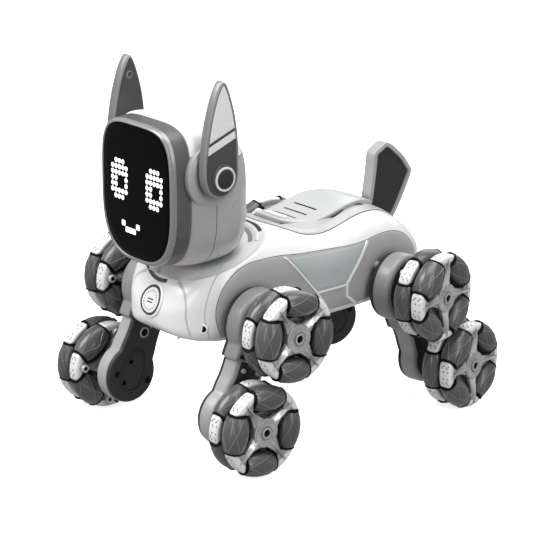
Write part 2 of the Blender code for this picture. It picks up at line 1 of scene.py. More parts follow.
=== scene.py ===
"""Looks of the robot dog toy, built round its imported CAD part.

Places are written as (side, ahead, up) in millimetres: side is towards the toy's left, and ahead is
the way it faces. spot() turns them into the row frame's axes.
"""
import json
import math

import bmesh
import bpy
from mathutils import Matrix, Vector

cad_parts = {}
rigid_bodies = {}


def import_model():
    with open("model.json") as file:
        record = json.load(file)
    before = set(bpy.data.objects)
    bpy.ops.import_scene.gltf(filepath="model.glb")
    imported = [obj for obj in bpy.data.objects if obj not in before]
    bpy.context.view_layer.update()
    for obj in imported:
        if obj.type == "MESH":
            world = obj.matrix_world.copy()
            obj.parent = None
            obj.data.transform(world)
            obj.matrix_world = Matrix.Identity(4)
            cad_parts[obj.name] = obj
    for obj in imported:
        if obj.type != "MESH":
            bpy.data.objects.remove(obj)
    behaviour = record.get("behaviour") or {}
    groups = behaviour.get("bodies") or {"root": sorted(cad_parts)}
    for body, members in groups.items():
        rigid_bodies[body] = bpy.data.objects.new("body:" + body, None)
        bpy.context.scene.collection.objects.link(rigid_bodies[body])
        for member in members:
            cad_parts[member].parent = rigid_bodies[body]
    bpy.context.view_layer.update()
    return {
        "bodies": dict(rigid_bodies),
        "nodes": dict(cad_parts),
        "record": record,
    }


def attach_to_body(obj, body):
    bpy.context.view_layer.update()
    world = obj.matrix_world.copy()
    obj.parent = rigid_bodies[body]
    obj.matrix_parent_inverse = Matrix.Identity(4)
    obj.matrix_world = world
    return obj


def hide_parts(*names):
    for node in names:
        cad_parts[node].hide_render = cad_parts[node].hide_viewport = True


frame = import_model()
joints = {joint["name"]: joint for joint in frame["record"]["behaviour"]["joints"]}

MM = 0.001
CENTRING = 2.45
scene = bpy.context.scene


def spot(side, ahead, up):
    return Vector((side, CENTRING - ahead, up))


# ------------ camera, lights, floor

def build_camera():
    azimuth, elevation, distance = math.radians(49.4), math.radians(18.2), 1.649
    target = spot(0.0, 10.35, 97.7) * MM
    level = math.cos(elevation)
    away = Vector((math.sin(azimuth) * level, -math.cos(azimuth) * level, math.sin(elevation)))
    data = bpy.data.cameras.new("camera")
    data.sensor_width, data.lens = 36.0, 164.2
    data.clip_start, data.clip_end = 0.05, 30.0
    camera = bpy.data.objects.new("camera", data)
    scene.collection.objects.link(camera)
    camera.location = target + away * distance
    camera.rotation_euler = (-away).to_track_quat("-Z", "Y").to_euler()
    scene.camera = camera


def build_lights():
    # name, where it stands (side, ahead, up), width and height in metres, watts
    for name, place, width, height, watts in (
        ("key", (-450.0, 750.0, 1000.0), 0.7, 0.7, 12.5),
        ("top", (150.0, -100.0, 1200.0), 0.9, 0.9, 9.5),
        ("side", (1150.0, 100.0, 700.0), 0.3, 1.0, 4.5),
        ("rim", (-500.0, -1000.0, 650.0), 0.8, 0.8, 3.0),
        ("front_strip", (350.0, 1250.0, 400.0), 0.2, 0.8, 2.2),
    ):
        lamp = bpy.data.lights.new(name, "AREA")
        lamp.shape, lamp.size, lamp.size_y, lamp.energy = "RECTANGLE", width, height, watts
        made = bpy.data.objects.new(name, lamp)
        scene.collection.objects.link(made)
        made.location = spot(*place) * MM
        aim = spot(0, 0, 100) * MM - made.location
        made.rotation_euler = aim.to_track_quat("-Z", "Y").to_euler()

    world = bpy.data.worlds.new("studio")
    world.use_nodes = True
    world.node_tree.nodes["Background"].inputs["Color"].default_value = (1.0, 1.0, 1.0, 1.0)
    world.node_tree.nodes["Background"].inputs["Strength"].default_value = 0.42
    scene.world = world
    scene.view_settings.view_transform = "Standard"


def build_floor():
    paper = bpy.data.materials.new("floor_paper")
    paper.use_nodes = True
    shader = paper.node_tree.nodes["Principled BSDF"]
    shader.inputs["Base Color"].default_value = (0.93, 0.93, 0.93, 1)
    shader.inputs["Roughness"].default_value = 0.9
    shader.inputs["Specular IOR Level"].default_value = 0.1
    shader.inputs["Emission Color"].default_value = (1, 1, 1, 1)
    shader.inputs["Emission Strength"].default_value = 0.75
    mesh = bpy.data.meshes.new("floor")
    far = 6.0
    mesh.from_pydata([(-far, -far, 0), (far, -far, 0), (far, far, 0), (-far, far, 0)], [], [(0, 1, 2, 3)])
    mesh.materials.append(paper)
    floor = bpy.data.objects.new("floor", mesh)
    scene.collection.objects.link(floor)
    floor.visible_diffuse = False
    floor.visible_glossy = False


# ------------ materials

def plastic(name, dark, light, roughness, metallic=0.0, coat=0.0, grain=0.00025, bump=0.12, edge_highlight=0.0,
            painted_sheen=False, specular=0.5, painted_crevice_shade=0.35):
    """Moulded plastic: slow colour drift, fine texture in bump and roughness, and painted shade in its
    crevices.

    dark and light are colours or plain greys. The edge amount paints convex edges paler as a painted
    highlight, the sheen switch paints a lighter green and pink sheen on the low parts, and the crevice amount
    sets how dark the painted shade in crevices gets."""
    dark, light = (value if isinstance(value, tuple) else (value,) * 3 for value in (dark, light))
    made = bpy.data.materials.new(name)
    made.use_nodes = True
    nodes, links = made.node_tree.nodes, made.node_tree.links
    shader = nodes["Principled BSDF"]
    place = nodes.new("ShaderNodeTexCoord")

    def noise(scale, detail):
        node = nodes.new("ShaderNodeTexNoise")
        node.inputs["Scale"].default_value = scale
        node.inputs["Detail"].default_value = detail
        links.new(place.outputs["Object"], node.inputs["Vector"])
        return node.outputs["Fac"]

    def ramp(source, low, high, start, end):
        node = nodes.new("ShaderNodeMapRange")
        node.inputs["From Min"].default_value, node.inputs["From Max"].default_value = start, end
        node.inputs["To Min"].default_value, node.inputs["To Max"].default_value = low, high
        links.new(source, node.inputs["Value"])
        return node.outputs["Result"]

    def blend(factor, under, over, how="MIX"):
        """A mix of two colours. Each input is a socket or a plain value."""
        node = nodes.new("ShaderNodeMix")
        node.data_type, node.blend_type = "RGBA", how
        for key, value in (("Factor", factor), (6, under), (7, over)):
            socket = node.inputs[key]
            if isinstance(value, bpy.types.NodeSocket):
                links.new(value, socket)
            else:
                socket.default_value = value
        return node.outputs[2]

    colour = blend(ramp(noise(14.0, 3.0), 0.0, 1.0, 0.3, 0.7), (*dark, 1.0), (*light, 1.0))
    # Painted highlight: convex edges, found by pointiness, are made paler.
    if edge_highlight:
        edges = nodes.new("ShaderNodeNewGeometry").outputs["Pointiness"]
        highlight_colour = (*[min(1.0, c * (1 + edge_highlight) + 0.04) for c in light], 1.0)
        colour = blend(ramp(edges, 0.0, 1.0, 0.53, 0.62), colour, highlight_colour)
    # Painted sheen: the low parts are tinted green and pink and made lighter.
    if painted_sheen:
        height = nodes.new("ShaderNodeSeparateXYZ")
        links.new(place.outputs["Object"], height.inputs["Vector"])
        sheen_hues = nodes.new("ShaderNodeValToRGB")
        stops = sheen_hues.color_ramp.elements
        stops[0].position, stops[0].color = 0.3, (0.55, 0.68, 0.60, 1)
        stops[1].position, stops[1].color = 0.72, (0.60, 0.50, 0.66, 1)
        stops.new(0.45).color = (0.62, 0.62, 0.62, 1)
        stops.new(0.58).color = (0.72, 0.60, 0.66, 1)
        links.new(noise(26.0, 1.0), sheen_hues.inputs["Fac"])
        colour = blend(ramp(height.outputs["Z"], 1.0, 0.0, 0.124, 0.141), colour, sheen_hues.outputs["Color"])
    # Painted shade: ambient occlusion darkens the colour in crevices and gaps, down to the crevice amount.
    shade_ao = nodes.new("ShaderNodeAmbientOcclusion")
    shade_ao.samples = 6
    shade_ao.inputs["Distance"].default_value = 0.006
    colour = blend(1.0, colour, ramp(shade_ao.outputs["AO"], painted_crevice_shade, 1.0, 0.25, 0.85), "MULTIPLY")
    links.new(colour, shader.inputs["Base Color"])

    gloss = ramp(noise(55.0, 4.0), roughness * 0.82, roughness * 1.2, 0.3, 0.7)
    links.new(gloss, shader.inputs["Roughness"])
    lumps = nodes.new("ShaderNodeBump")
    lumps.inputs["Strength"].default_value = bump
    lumps.inputs["Distance"].default_value = grain * 0.2
    links.new(noise(1.0 / grain / 4.0, 2.0), lumps.inputs["Height"])
    links.new(lumps.outputs["Normal"], shader.inputs["Normal"])
    shader.inputs["Specular IOR Level"].default_value = specular
    shader.inputs["Metallic"].default_value = metallic
    shader.inputs["Coat Weight"].default_value = coat
    shader.inputs["Coat Roughness"].default_value = 0.08
    return made


# The crevice amount of each material is how dark its painted crevice shade gets.
MATS = dict(
    white=plastic("white_gloss", 0.80, 0.85, 0.26, coat=0.3, bump=0.03, painted_crevice_shade=0.55),
    # The pearl grey carries a painted sheen: lighter, tinted low parts of the head.
    pearl=plastic("pearl_grey", (0.37, 0.365, 0.365), (0.43, 0.42, 0.425), 0.3, coat=0.3, bump=0.04,
                  painted_sheen=True),
    panel=plastic("panel_grey", (0.375, 0.365, 0.365), (0.42, 0.41, 0.41), 0.42, bump=0.3, painted_crevice_shade=0.6),
    label=plastic("label_grey", (0.42, 0.45, 0.45), (0.47, 0.50, 0.50), 0.3, bump=0.1, painted_crevice_shade=0.7),
    cover=plastic("cover_grey", (0.46, 0.465, 0.47), (0.52, 0.525, 0.53), 0.34, bump=0.25, coat=0.2,
                  painted_crevice_shade=0.4),
    bezel=plastic("bezel_grey", 0.10, 0.135, 0.36, metallic=0.3, bump=0.25, edge_highlight=0.8),
    lip=plastic("bezel_lip", 0.27, 0.33, 0.3, metallic=0.4, bump=0.2),
    ear=plastic("ear_grey", 0.06, 0.085, 0.36, metallic=0.2, bump=0.35, specular=0.4),
    ear_edge=plastic("ear_edge", 0.19, 0.25, 0.34, metallic=0.25, bump=0.3, edge_highlight=0.6),
    inlay=plastic("ear_inlay", 0.74, 0.80, 0.28, coat=0.3, bump=0.05, painted_crevice_shade=0.6),
    screen=plastic("screen_gloss", 0.0006, 0.0012, 0.12, bump=0.0, specular=0.08),
    # pod_grey and pod_light are one leg plastic in two greys: the darker paints shade on the leg sleeves, the
    # lighter paints light on the shins.
    pod=plastic("pod_grey", 0.23, 0.28, 0.36, bump=0.3, coat=0.2, painted_crevice_shade=0.4),
    pod_light=plastic("pod_light", 0.33, 0.40, 0.36, bump=0.3, coat=0.2, painted_crevice_shade=0.4),
    dark=plastic("dark_cover", 0.020, 0.030, 0.44, bump=0.5, specular=0.35),
    # Near black: painted shade in holes, slots, grooves and the gaps at the rollers' ends, where the bushes
    # are partly dark rubber of their own.
    black=plastic("painted_shade_black", 0.003, 0.005, 0.6, bump=0.2, specular=0.1),
    tail=plastic("tail_rim", 0.34, 0.41, 0.36, bump=0.25, coat=0.15),
    tail_dark=plastic("tail_face", 0.022, 0.032, 0.44, bump=0.5, specular=0.35),
    pan=plastic("belly_green", (0.025, 0.048, 0.042), (0.04, 0.066, 0.058), 0.42, bump=0.4, specular=0.4),
    rubber=plastic("roller_rubber", 0.070, 0.105, 0.33, metallic=0.15, bump=0.5, grain=0.0004,
                   coat=0.3, painted_crevice_shade=0.12),
    # roller_rib: the ribs are the rollers' own rubber, made lighter: a painted highlight on them.
    rib=plastic("roller_rib", 0.15, 0.20, 0.3, bump=0.3, grain=0.0004, coat=0.3, painted_crevice_shade=0.2),
    block=plastic("wheel_white", 0.78, 0.84, 0.32, bump=0.2, coat=0.2, painted_crevice_shade=0.3),
    # wheel_dimple: a darker grey in the white blocks' dimples, painted shade.
    dimple=plastic("wheel_dimple", 0.30, 0.36, 0.4, bump=0.2),
    hub=plastic("hub_silver", 0.38, 0.46, 0.28, metallic=0.35, bump=0.25, edge_highlight=0.5, painted_crevice_shade=0.15),
    steel=plastic("steel", 0.42, 0.52, 0.3, metallic=1.0, bump=0.3),
    board=plastic("board_green", (0.01, 0.08, 0.03), (0.02, 0.14, 0.05), 0.45, bump=0.3),
    battery=plastic("battery_blue", (0.02, 0.05, 0.2), (0.03, 0.08, 0.28), 0.4, bump=0.2),
    mesh=plastic("print_dark", 0.03, 0.045, 0.5, bump=0.2, specular=0.3),
)


def glowing():
    made = plastic("led_white", 0.85, 0.9, 0.4, bump=0.1)
    shader = made.node_tree.nodes["Principled BSDF"]
    shader.inputs["Emission Color"].default_value = (1, 1, 1, 1)
    shader.inputs["Emission Strength"].default_value = 1.1
    return made


MATS["led"] = glowing()


# ------------ mesh helpers

def finish_piece(name, part, mats, body, sharp=38.0, replaces=()):
    """An object from a part in millimetres of the row frame, riding on a body."""
    return attach(name, to_mesh(name, part, mats, sharp), body, replaces)


def to_mesh(name, part, mats, sharp=38.0):
    """A mesh from (points, faces) or (points, faces, material), and the materials' names in order."""
    points, faces, face_mats = joined([part])
    mesh = bpy.data.meshes.new(name)
    mesh.from_pydata([Vector(p) * MM for p in points], [], faces)
    for mat in mats.split():
        mesh.materials.append(MATS[mat])
    for face, index in zip(mesh.polygons, face_mats):
        face.material_index = index
    return tidy_mesh(mesh, sharp)


def tidy_mesh(mesh, sharp=38.0):
    shape = bmesh.new()
    shape.from_mesh(mesh)
    bmesh.ops.remove_doubles(shape, verts=shape.verts, dist=1e-7)
    bmesh.ops.dissolve_degenerate(shape, edges=shape.edges, dist=1e-8)
    bmesh.ops.recalc_face_normals(shape, faces=shape.faces)
    shape.to_mesh(mesh)
    shape.free()
    mesh.shade_smooth()
    mesh.set_sharp_from_angle(angle=math.radians(sharp))
    return mesh


def attach(name, mesh, body, replaces=(), matrix=None):
    made = bpy.data.objects.new(name, mesh)
    scene.collection.objects.link(made)
    if matrix is not None:
        made.matrix_world = matrix
        bpy.context.view_layer.update()
    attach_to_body(made, body)
    if replaces:
        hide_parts(*replaces)
    return made


def skin(rings, around=False, caps=True, wrap=True):
    """(points, faces) through rings of equal length."""
    count = len(rings[0])
    points = [v for ring in rings for v in ring]
    faces = []
    last = len(rings) if around else len(rings) - 1
    for i in range(last):
        a, b = i * count, (i + 1) % len(rings) * count
        for j in range(count if wrap else count - 1):
            k = (j + 1) % count
            faces.append((a + j, a + k, b + k, b + j))
    if caps and not around:
        faces.append(tuple(range(count)))
        faces.append(tuple(range(last * count, (last + 1) * count))[::-1])
    return points, faces


def joined(parts):
    """Several (points, faces, material) as one. The material is an index for all faces or a list."""
    points, faces, mats = [], [], []
    for part in parts:
        base = len(points)
        points += list(part[0])
        faces += [tuple(base + i for i in face) for face in part[1]]
        mat = part[2] if len(part) > 2 else 0
        mats += mat if isinstance(mat, list) else [mat] * len(part[1])
    return points, faces, mats


def moved(part, matrix):
    return ([matrix @ Vector(p) for p in part[0]], *part[1:])


def shift(by):
    return Matrix.Translation(by)


def turn(axis, degrees):
    return Matrix.Rotation(math.radians(degrees), 4, axis)


def round_axle(part, start=0.0, along=0.0):
    """Four copies a quarter turn apart about X, shifted along it."""
    return [moved(part, turn("X", start + 90 * k) @ shift((along, 0, 0))) for k in range(4)]


def facing(sign):
    """The turn that points +X towards the toy's left (1) or right (-1)."""
    return Matrix.Rotation(0 if sign > 0 else math.pi, 4, "Z")


def lathe(profile, count, mat=0):
    """Solid of revolution about X from (along, radius) points that start and end on the axis."""
    rings = []
    for i in range(count):
        angle = 2 * math.pi * i / count
        rings.append([(along, r * math.cos(angle), r * math.sin(angle)) for along, r in profile])
    points, faces = skin(rings, around=True, wrap=False)
    return points, faces, mat


def spline(points, per=6, closed=True):
    """A smooth curve through points, with more of them. A repeated point makes a corner."""
    out = []
    n = len(points)
    span = n if closed else n - 1
    for i in range(span):
        if closed:
            a, b, c, d = (points[(i + k) % n] for k in (-1, 0, 1, 2))
        else:
            a, b, c, d = (points[min(max(i + k, 0), n - 1)] for k in (-1, 0, 1, 2))
        if b == c:
            continue
        for k in range(per):
            t = k / per
            out.append(tuple(
                0.5 * (2 * q + (r - p) * t + (2 * p - 5 * q + 4 * r - s) * t * t
                       + (3 * q - p - 3 * r + s) * t ** 3)
                for p, q, r, s in zip(a, b, c, d)
            ))
    if not closed:
        out.append(tuple(points[-1]))
    return out


def inward(outline, by):
    """The closed 2-D outline moved towards its inside by a distance, with the same number of points."""
    n = len(outline)
    area = sum(a[0] * b[1] - b[0] * a[1] for a, b in zip(outline, outline[1:] + outline[:1]))
    way = 1 if area > 0 else -1
    out = []
    for i in range(n):
        before, here, after = (Vector(outline[(i + k) % n]) for k in (-1, 0, 1))
        along = (after - here).normalized() + (here - before).normalized()
        if along.length < 1e-6:
            along = after - here
        along.normalize()
        normal = Vector((-along.y, along.x)) * way
        out.append((here.x + normal.x * by, here.y + normal.y * by))
    return out


def trimmed(outline, by):
    """An inset outline without the folds that a tight curve makes, evened out again."""
    kept = [point for point in inward(outline, by)
            if min((Vector(point) - Vector(other)).length for other in outline) > by * 0.985]
    return even(kept, 2.0)


def arc(centre, radius, start, end, count):
    steps = [math.radians(start + (end - start) * i / (count - 1)) for i in range(count)]
    return [(centre[0] + radius * math.cos(t), centre[1] + radius * math.sin(t)) for t in steps]


def even(outline, step):
    """The closed outline with points about every step, keeping its corners."""
    return even_path(outline + outline[:1], step)[:-1]


def even_path(points, step=2.0):
    """An open path with points about every step."""
    out = []
    for a, b in zip(points, points[1:]):
        a, b = Vector(a), Vector(b)
        parts = max(1, round((b - a).length / step))
        out += [tuple(a.lerp(b, k / parts)) for k in range(parts)]
    return out + [tuple(points[-1])]


def patch(outline, surface, lift=0.4, sink=0.8, edge=0.45, middle=None, rings=9):
    """A skin that lies on a surface inside an outline, raised by lift with a rounded edge.

    surface turns (a, b, height) into a point."""
    n = len(outline)
    centre = middle or (sum(p[0] for p in outline) / n, sum(p[1] for p in outline) / n)
    levels = [(outline, -sink), (outline, lift - edge), (inward(outline, edge * 0.3), lift - edge * 0.3),
              (inward(outline, edge), lift)]
    inner = levels[-1][0]
    for k in range(1, rings):
        share = 1 - k / rings
        levels.append(([(centre[0] + (a - centre[0]) * share, centre[1] + (b - centre[1]) * share)
                        for a, b in inner], lift))
    points = [surface(a, b, h) for ring, h in levels for a, b in ring]
    faces = []
    for i in range(len(levels) - 1):
        for j in range(n):
            k = (j + 1) % n
            faces.append((i * n + j, i * n + k, (i + 1) * n + k, (i + 1) * n + j))
    points.append(surface(*centre, lift))
    last = (len(levels) - 1) * n
    faces += [(last + j, last + (j + 1) % n, len(points) - 1) for j in range(n)]
    faces.append(tuple(range(n))[::-1])
    return points, faces


def ribbon(path, half, surface, lift=0.25, sink=0.5, closed=False):
    """A thin rounded strip that follows a path on a surface."""
    n = len(path)
    rings = []
    for i in range(n):
        if closed:
            before, after = path[i - 1], path[(i + 1) % n]
        else:
            before, after = path[max(i - 1, 0)], path[min(i + 1, n - 1)]
        along = (Vector(after) - Vector(before)).normalized()
        across = Vector((-along.y, along.x))
        a, b = path[i]
        ring = []
        for share, height in ((-1, -sink), (-1, lift * 0.35), (-0.62, lift), (0.62, lift), (1, lift * 0.35),
                              (1, -sink)):
            ring.append(surface(a + across.x * half * share, b + across.y * half * share, height))
        rings.append(ring)
    return skin(rings, around=closed)


# ------------ body

FRONT, REAR = 113.5, -110.5
HALF_WIDTH, REAR_HALF_WIDTH = 45.2, 39.5
BOTTOM = 70.5
NECK_AHEAD, NECK_UP, NECK_SLOPE = 67.5, 125.44, math.radians(18.0)


def neck_slope(ahead):
    return NECK_UP - 0.6 - math.tan(NECK_SLOPE) * (ahead - NECK_AHEAD)


# The shoulders' height beside the neck at distances ahead.
SHOULDERS = [(28.0, 136.3), (36.0, 137.4), (44.0, 139.0), (52.0, 140.4), (60.0, 141.0), (68.0, 140.3),
             (78.0, 137.0), (88.0, 132.0), (96.0, 127.0), (104.0, 121.0), (114.0, 114.0)]


def body_top(ahead):
    if ahead > SHOULDERS[0][0]:
        for (a, low), (b, high) in zip(SHOULDERS, SHOULDERS[1:]):
            if ahead <= b:
                share = (ahead - a) / (b - a)
                return low + (high - low) * share
        return SHOULDERS[-1][1]
    if ahead < -43.0:
        return 136.5 - 0.0075 * (ahead + 43.0) ** 2
    return 133.5 - 3.0 * math.cos((ahead + 5.0) / 38.0 * math.pi)


def smooth_step(low, high, value):
    t = max(0.0, min(1.0, (value - low) / (high - low)))
    return t * t * (3 - 2 * t)


def carved(side, ahead, up):
    """The height after the bowl round the neck has been hollowed out."""
    floor = neck_slope(ahead)
    if up <= floor or ahead < 20.0:
        return up
    reach = math.hypot((ahead - NECK_AHEAD) / math.cos(NECK_SLOPE), side)
    wall = smooth_step(37.5, 45.0, reach)
    if ahead > NECK_AHEAD:
        open_front = smooth_step(NECK_AHEAD, NECK_AHEAD + 30.0, ahead)
        wall *= 1 - open_front * (1 - smooth_step(8.0, 34.0, abs(side)))
    return floor + (up - floor) * wall


def swollen(value, power):
    """A power that keeps the sign, which squares off a circle."""
    return math.copysign(abs(value) ** power, value)


def around_at(index, count):
    """The cosine and sine of a place half a step round from each of count even ones."""
    angle = 2 * math.pi * (index + 0.5) / count
    return math.cos(angle), math.sin(angle)


def section(ahead):
    """(half width, middle height, half height) of the hull."""
    middle, half = (FRONT + REAR) / 2, (FRONT - REAR) / 2
    s = max(-1.0, min(1.0, (ahead - middle) / half))
    shrink = max(0.0, 1 - abs(s) ** (6.0 if s > 0 else 5.5)) ** 0.45
    width = HALF_WIDTH
    if ahead < -30.0:
        width += (REAR_HALF_WIDTH - HALF_WIDTH) * (ahead + 30.0) / (REAR + 30.0)
    top = body_top(ahead)
    centre = (top + BOTTOM) / 2 + (-3.0 if s > 0 else 2.0) * abs(s) ** 4
    return width * shrink, centre, (top - BOTTOM) / 2 * shrink


POWER_LOW, POWER_HIGH = 6.0, 3.2


def hull_side(ahead, up, out=0.0, sign=1):
    width, centre, half = section(ahead)
    v = min(0.999, abs(up - centre) / max(half, 0.01))
    power = POWER_HIGH if up > centre else POWER_LOW
    x = width * (1 - v ** power) ** (1 / power)
    slope = v ** (power - 1) * (1 - v ** power) ** (1 / power - 1) * width / max(half, 0.01)
    lean = min(1.0, 1 / math.sqrt(1 + slope ** 2))
    tilt = math.copysign(math.sqrt(max(0.0, 1 - lean ** 2)), up - centre)
    return spot(sign * (x + out * lean), ahead, up + out * tilt)


def hull_top(side, ahead, out=0.0):
    width, centre, half = section(ahead)
    u = min(0.999, abs(side) / max(width, 0.01))
    z = centre + half * (1 - u ** POWER_HIGH) ** (1 / POWER_HIGH)
    slope = u ** (POWER_HIGH - 1) * (1 - u ** POWER_HIGH) ** (1 / POWER_HIGH - 1) * half / max(width, 0.01)
    level = carved(side, ahead, z)
    if level < z - 0.01:
        return spot(side, ahead, level + out)
    up = 1 / math.sqrt(1 + slope ** 2)
    tilt = math.copysign(math.sqrt(max(0.0, 1 - up ** 2)), side)
    return spot(side + out * tilt, ahead, z + out * up)


def hull_front(side, up, out=0.0):
    """The chest's point for a side and height, found by stepping ahead."""
    low, high = 60.0, FRONT
    for _ in range(40):
        ahead = (low + high) / 2
        width, centre, half = section(ahead)
        power = POWER_HIGH if up > centre else POWER_LOW
        inside = (abs(side) / max(width, 0.01)) ** power + (abs(up - centre) / max(half, 0.01)) ** power < 1
        low, high = (ahead, high) if inside else (low, ahead)
    return spot(side, low + out, up)


def hull_rings(inset, count, stations):
    middle, half = (FRONT + REAR) / 2, (FRONT - REAR) / 2
    rings = []
    for i in range(stations):
        s = math.sin(math.pi * (i / (stations - 1) - 0.5))
        ahead = middle + half * math.copysign(abs(s) ** 0.8, s) * 0.9995
        width, centre, tall = section(ahead)
        ring = []
        for j in range(count):
            c, sn = around_at(j, count)
            power = POWER_HIGH if sn > 0 else POWER_LOW
            side = (width - inset) * swollen(c, 2 / power)
            up = centre + (tall - inset) * swollen(sn, 2 / power)
            ring.append(spot(side, ahead, carved(side, ahead, up)))
        rings.append(ring)
    return rings


def mesh_of(points, faces):
    """A bmesh of the points and faces, without faces that repeat another."""
    shape = bmesh.new()
    verts = [shape.verts.new(p) for p in points]
    for face in faces:
        try:
            shape.faces.new([verts[i] for i in face])
        except ValueError:
            pass
    return shape


def split(shape, point, normal, clear=False):
    """The edges and vertices where a plane cuts the bmesh. clear removes the side that normal points to."""
    return bmesh.ops.bisect_plane(shape, geom=shape.verts[:] + shape.edges[:] + shape.faces[:],
                                  plane_co=point, plane_no=normal, clear_outer=clear)["geom_cut"]


def lists_of(shape):
    """The points and faces of a bmesh, which it frees."""
    shape.verts.index_update()
    lists = [v.co.copy() for v in shape.verts], [tuple(v.index for v in f.verts) for f in shape.faces]
    shape.free()
    return lists


def cut(points, faces, point, normal):
    """The mesh after a plane has cut it and its hole is filled, without the side that normal points to."""
    shape = mesh_of(points, faces)
    rim = [e for e in split(shape, point, normal, clear=True) if isinstance(e, bmesh.types.BMEdge)]
    bmesh.ops.contextual_create(shape, geom=rim)
    return lists_of(shape)


ARCH_CENTRE = (60.0, 94.5)
SIDE_PANEL = (
    arc(ARCH_CENTRE, 30.0, -32.0, 88.0, 14)
    + spline([(61.0, 124.6), (50.0, 124.6), (38.0, 123.8), (20.0, 121.5), (2.0, 119.8), (-20.0, 118.6),
              (-36.0, 119.2), (-50.0, 120.5), (-64.0, 119.5), (-78.0, 114.0), (-88.0, 104.0), (-92.0, 92.0),
              (-92.5, 78.5)], 3, closed=False)
    + [(85.0, 78.5)]
)
BACK_HALF = [(0.0, 24.0), (9.0, 23.0), (17.0, 20.0), (23.0, 16.0), (28.5, 10.0), (30.0, 4.0), (31.0, -6.0),
             (31.2, -20.0), (30.5, -34.0), (28.5, -48.0), (25.0, -62.0), (21.0, -76.0), (14.0, -88.0),
             (6.0, -92.0), (0.0, -92.5)]


def mirrored(half):
    """A closed outline from the half with side >= 0, which starts and ends on the middle."""
    return half + [(-a, b) for a, b in half[-2:0:-1]]


LABEL = [(31.5, 121.2), (14.0, 119.4), (-8.0, 117.9), (-26.0, 117.6), (-34.5, 118.0), (-17.0, 94.6),
         (7.0, 94.6), (10.0, 96.6)]
RIBS = (  # path, half width
    ([(36.0, 122.6), (33.0, 120.5), (9.5, 94.0), (-2.0, 79.0)], 0.9),
    ([(8.5, 92.8), (-17.5, 92.8)], 0.75),
    ([(-37.5, 118.6), (-35.5, 116.2), (-17.8, 93.2), (-17.8, 85.0), (-26.0, 78.6)], 1.2),
)


def build_flank(word, sign):
    """One side's grey panel with its seam, label field, ribs, and grey lines on the white shoulder that paint
    shade round the arch.
    """
    def on(a, b, h):
        return hull_side(a, b, h, sign)

    outline = even(SIDE_PANEL, 2.4)
    panel = patch(outline, on, lift=0.5, middle=(0.0, 98.0), rings=18)
    finish_piece(word + "_flank", panel, "panel", "body", replaces=(word + "_side_panel",))
    finish_piece(word + "_flank_seam", ribbon(outline, 0.35, on, lift=0.06, closed=True), "mesh", "body")
    label = patch(even(LABEL, 2.0), on, lift=0.62, edge=0.25, middle=(0.0, 106.0))
    finish_piece(word + "_label", label, "label", "body")
    part = joined([ribbon(even_path(path), half, on, lift=1.1, sink=0.6) for path, half in RIBS])
    finish_piece(word + "_ribs", part, "white", "body")
    # Grey lines on the white shell: painted shade round the shoulder's arch.
    for i, (radius, half) in enumerate(((36.5, 0.3), (45.5, 0.35))):
        path = arc(ARCH_CENTRE, radius, -28.0, 62.0, 40)
        finish_piece(f"{word}_shoulder_shade_line_{i}", ribbon(path, half, on, lift=0.06), "cover", "body")


def build_body():
    split_at = 73.6  # the height where the white shell meets the belly tray
    shell = cut(*skin(hull_rings(0.0, 132, 170)), Vector((0, 0, split_at)), Vector((0, 0, -1)))
    finish_piece("shell", shell, "white", "body", replaces=("body_shell",), sharp=50)
    pan = cut(*skin(hull_rings(0.5, 56, 60)), Vector((0, 0, split_at + 0.3)), Vector((0, 0, 1)))
    finish_piece("belly_tray", pan, "pan", "body", replaces=("belly_pan",), sharp=50)
    build_flank("left", 1)
    build_flank("right", -1)
    build_back()
    build_chest()
    build_neck_track()
    for word, sign, aim in (("left", 1, -52), ("right", -1, -128)):
        place = shift(hull_side(97.5, 85.5, 0.0, sign)) @ turn("Z", aim)
        part = moved(screw(2.2), place)
        finish_piece(f"chest_screw_{word}", part, "white black", "body")


def screw(radius, rim=0):
    """A screw's raised rim about X, and the floor of its hole as material 1, which is painted near black as
    the shade in the hole.
    """
    well = lathe([(-1.0, 0), (-1.0, radius * 1.5), (0.0, radius * 1.5), (0.45, radius * 1.32),
                  (0.45, radius * 1.05), (0.0, radius), (0.0, 0)], 24, rim)
    return joined([well, screw_floor(radius)])


def screw_floor(radius):
    return lathe([(-0.5, 0), (-0.5, radius * 0.98), (0.12, radius * 0.98), (0.12, 0)], 24, 1)


RAISED_HALF = [(0.0, 14.0), (8.0, 13.5), (13.0, 12.0), (17.5, 4.0), (20.5, -6.0), (22.0, -18.0),
               (22.0, -30.0), (20.5, -42.0), (17.0, -56.0), (12.0, -70.0), (6.0, -76.0), (0.0, -77.0)]
GROOVE = ((13.0, 12.5), (18.5, 3.0), (21.8, -8.0), (23.2, -20.0), (22.6, -31.0), (19.0, -42.0), (19.0, -55.0))


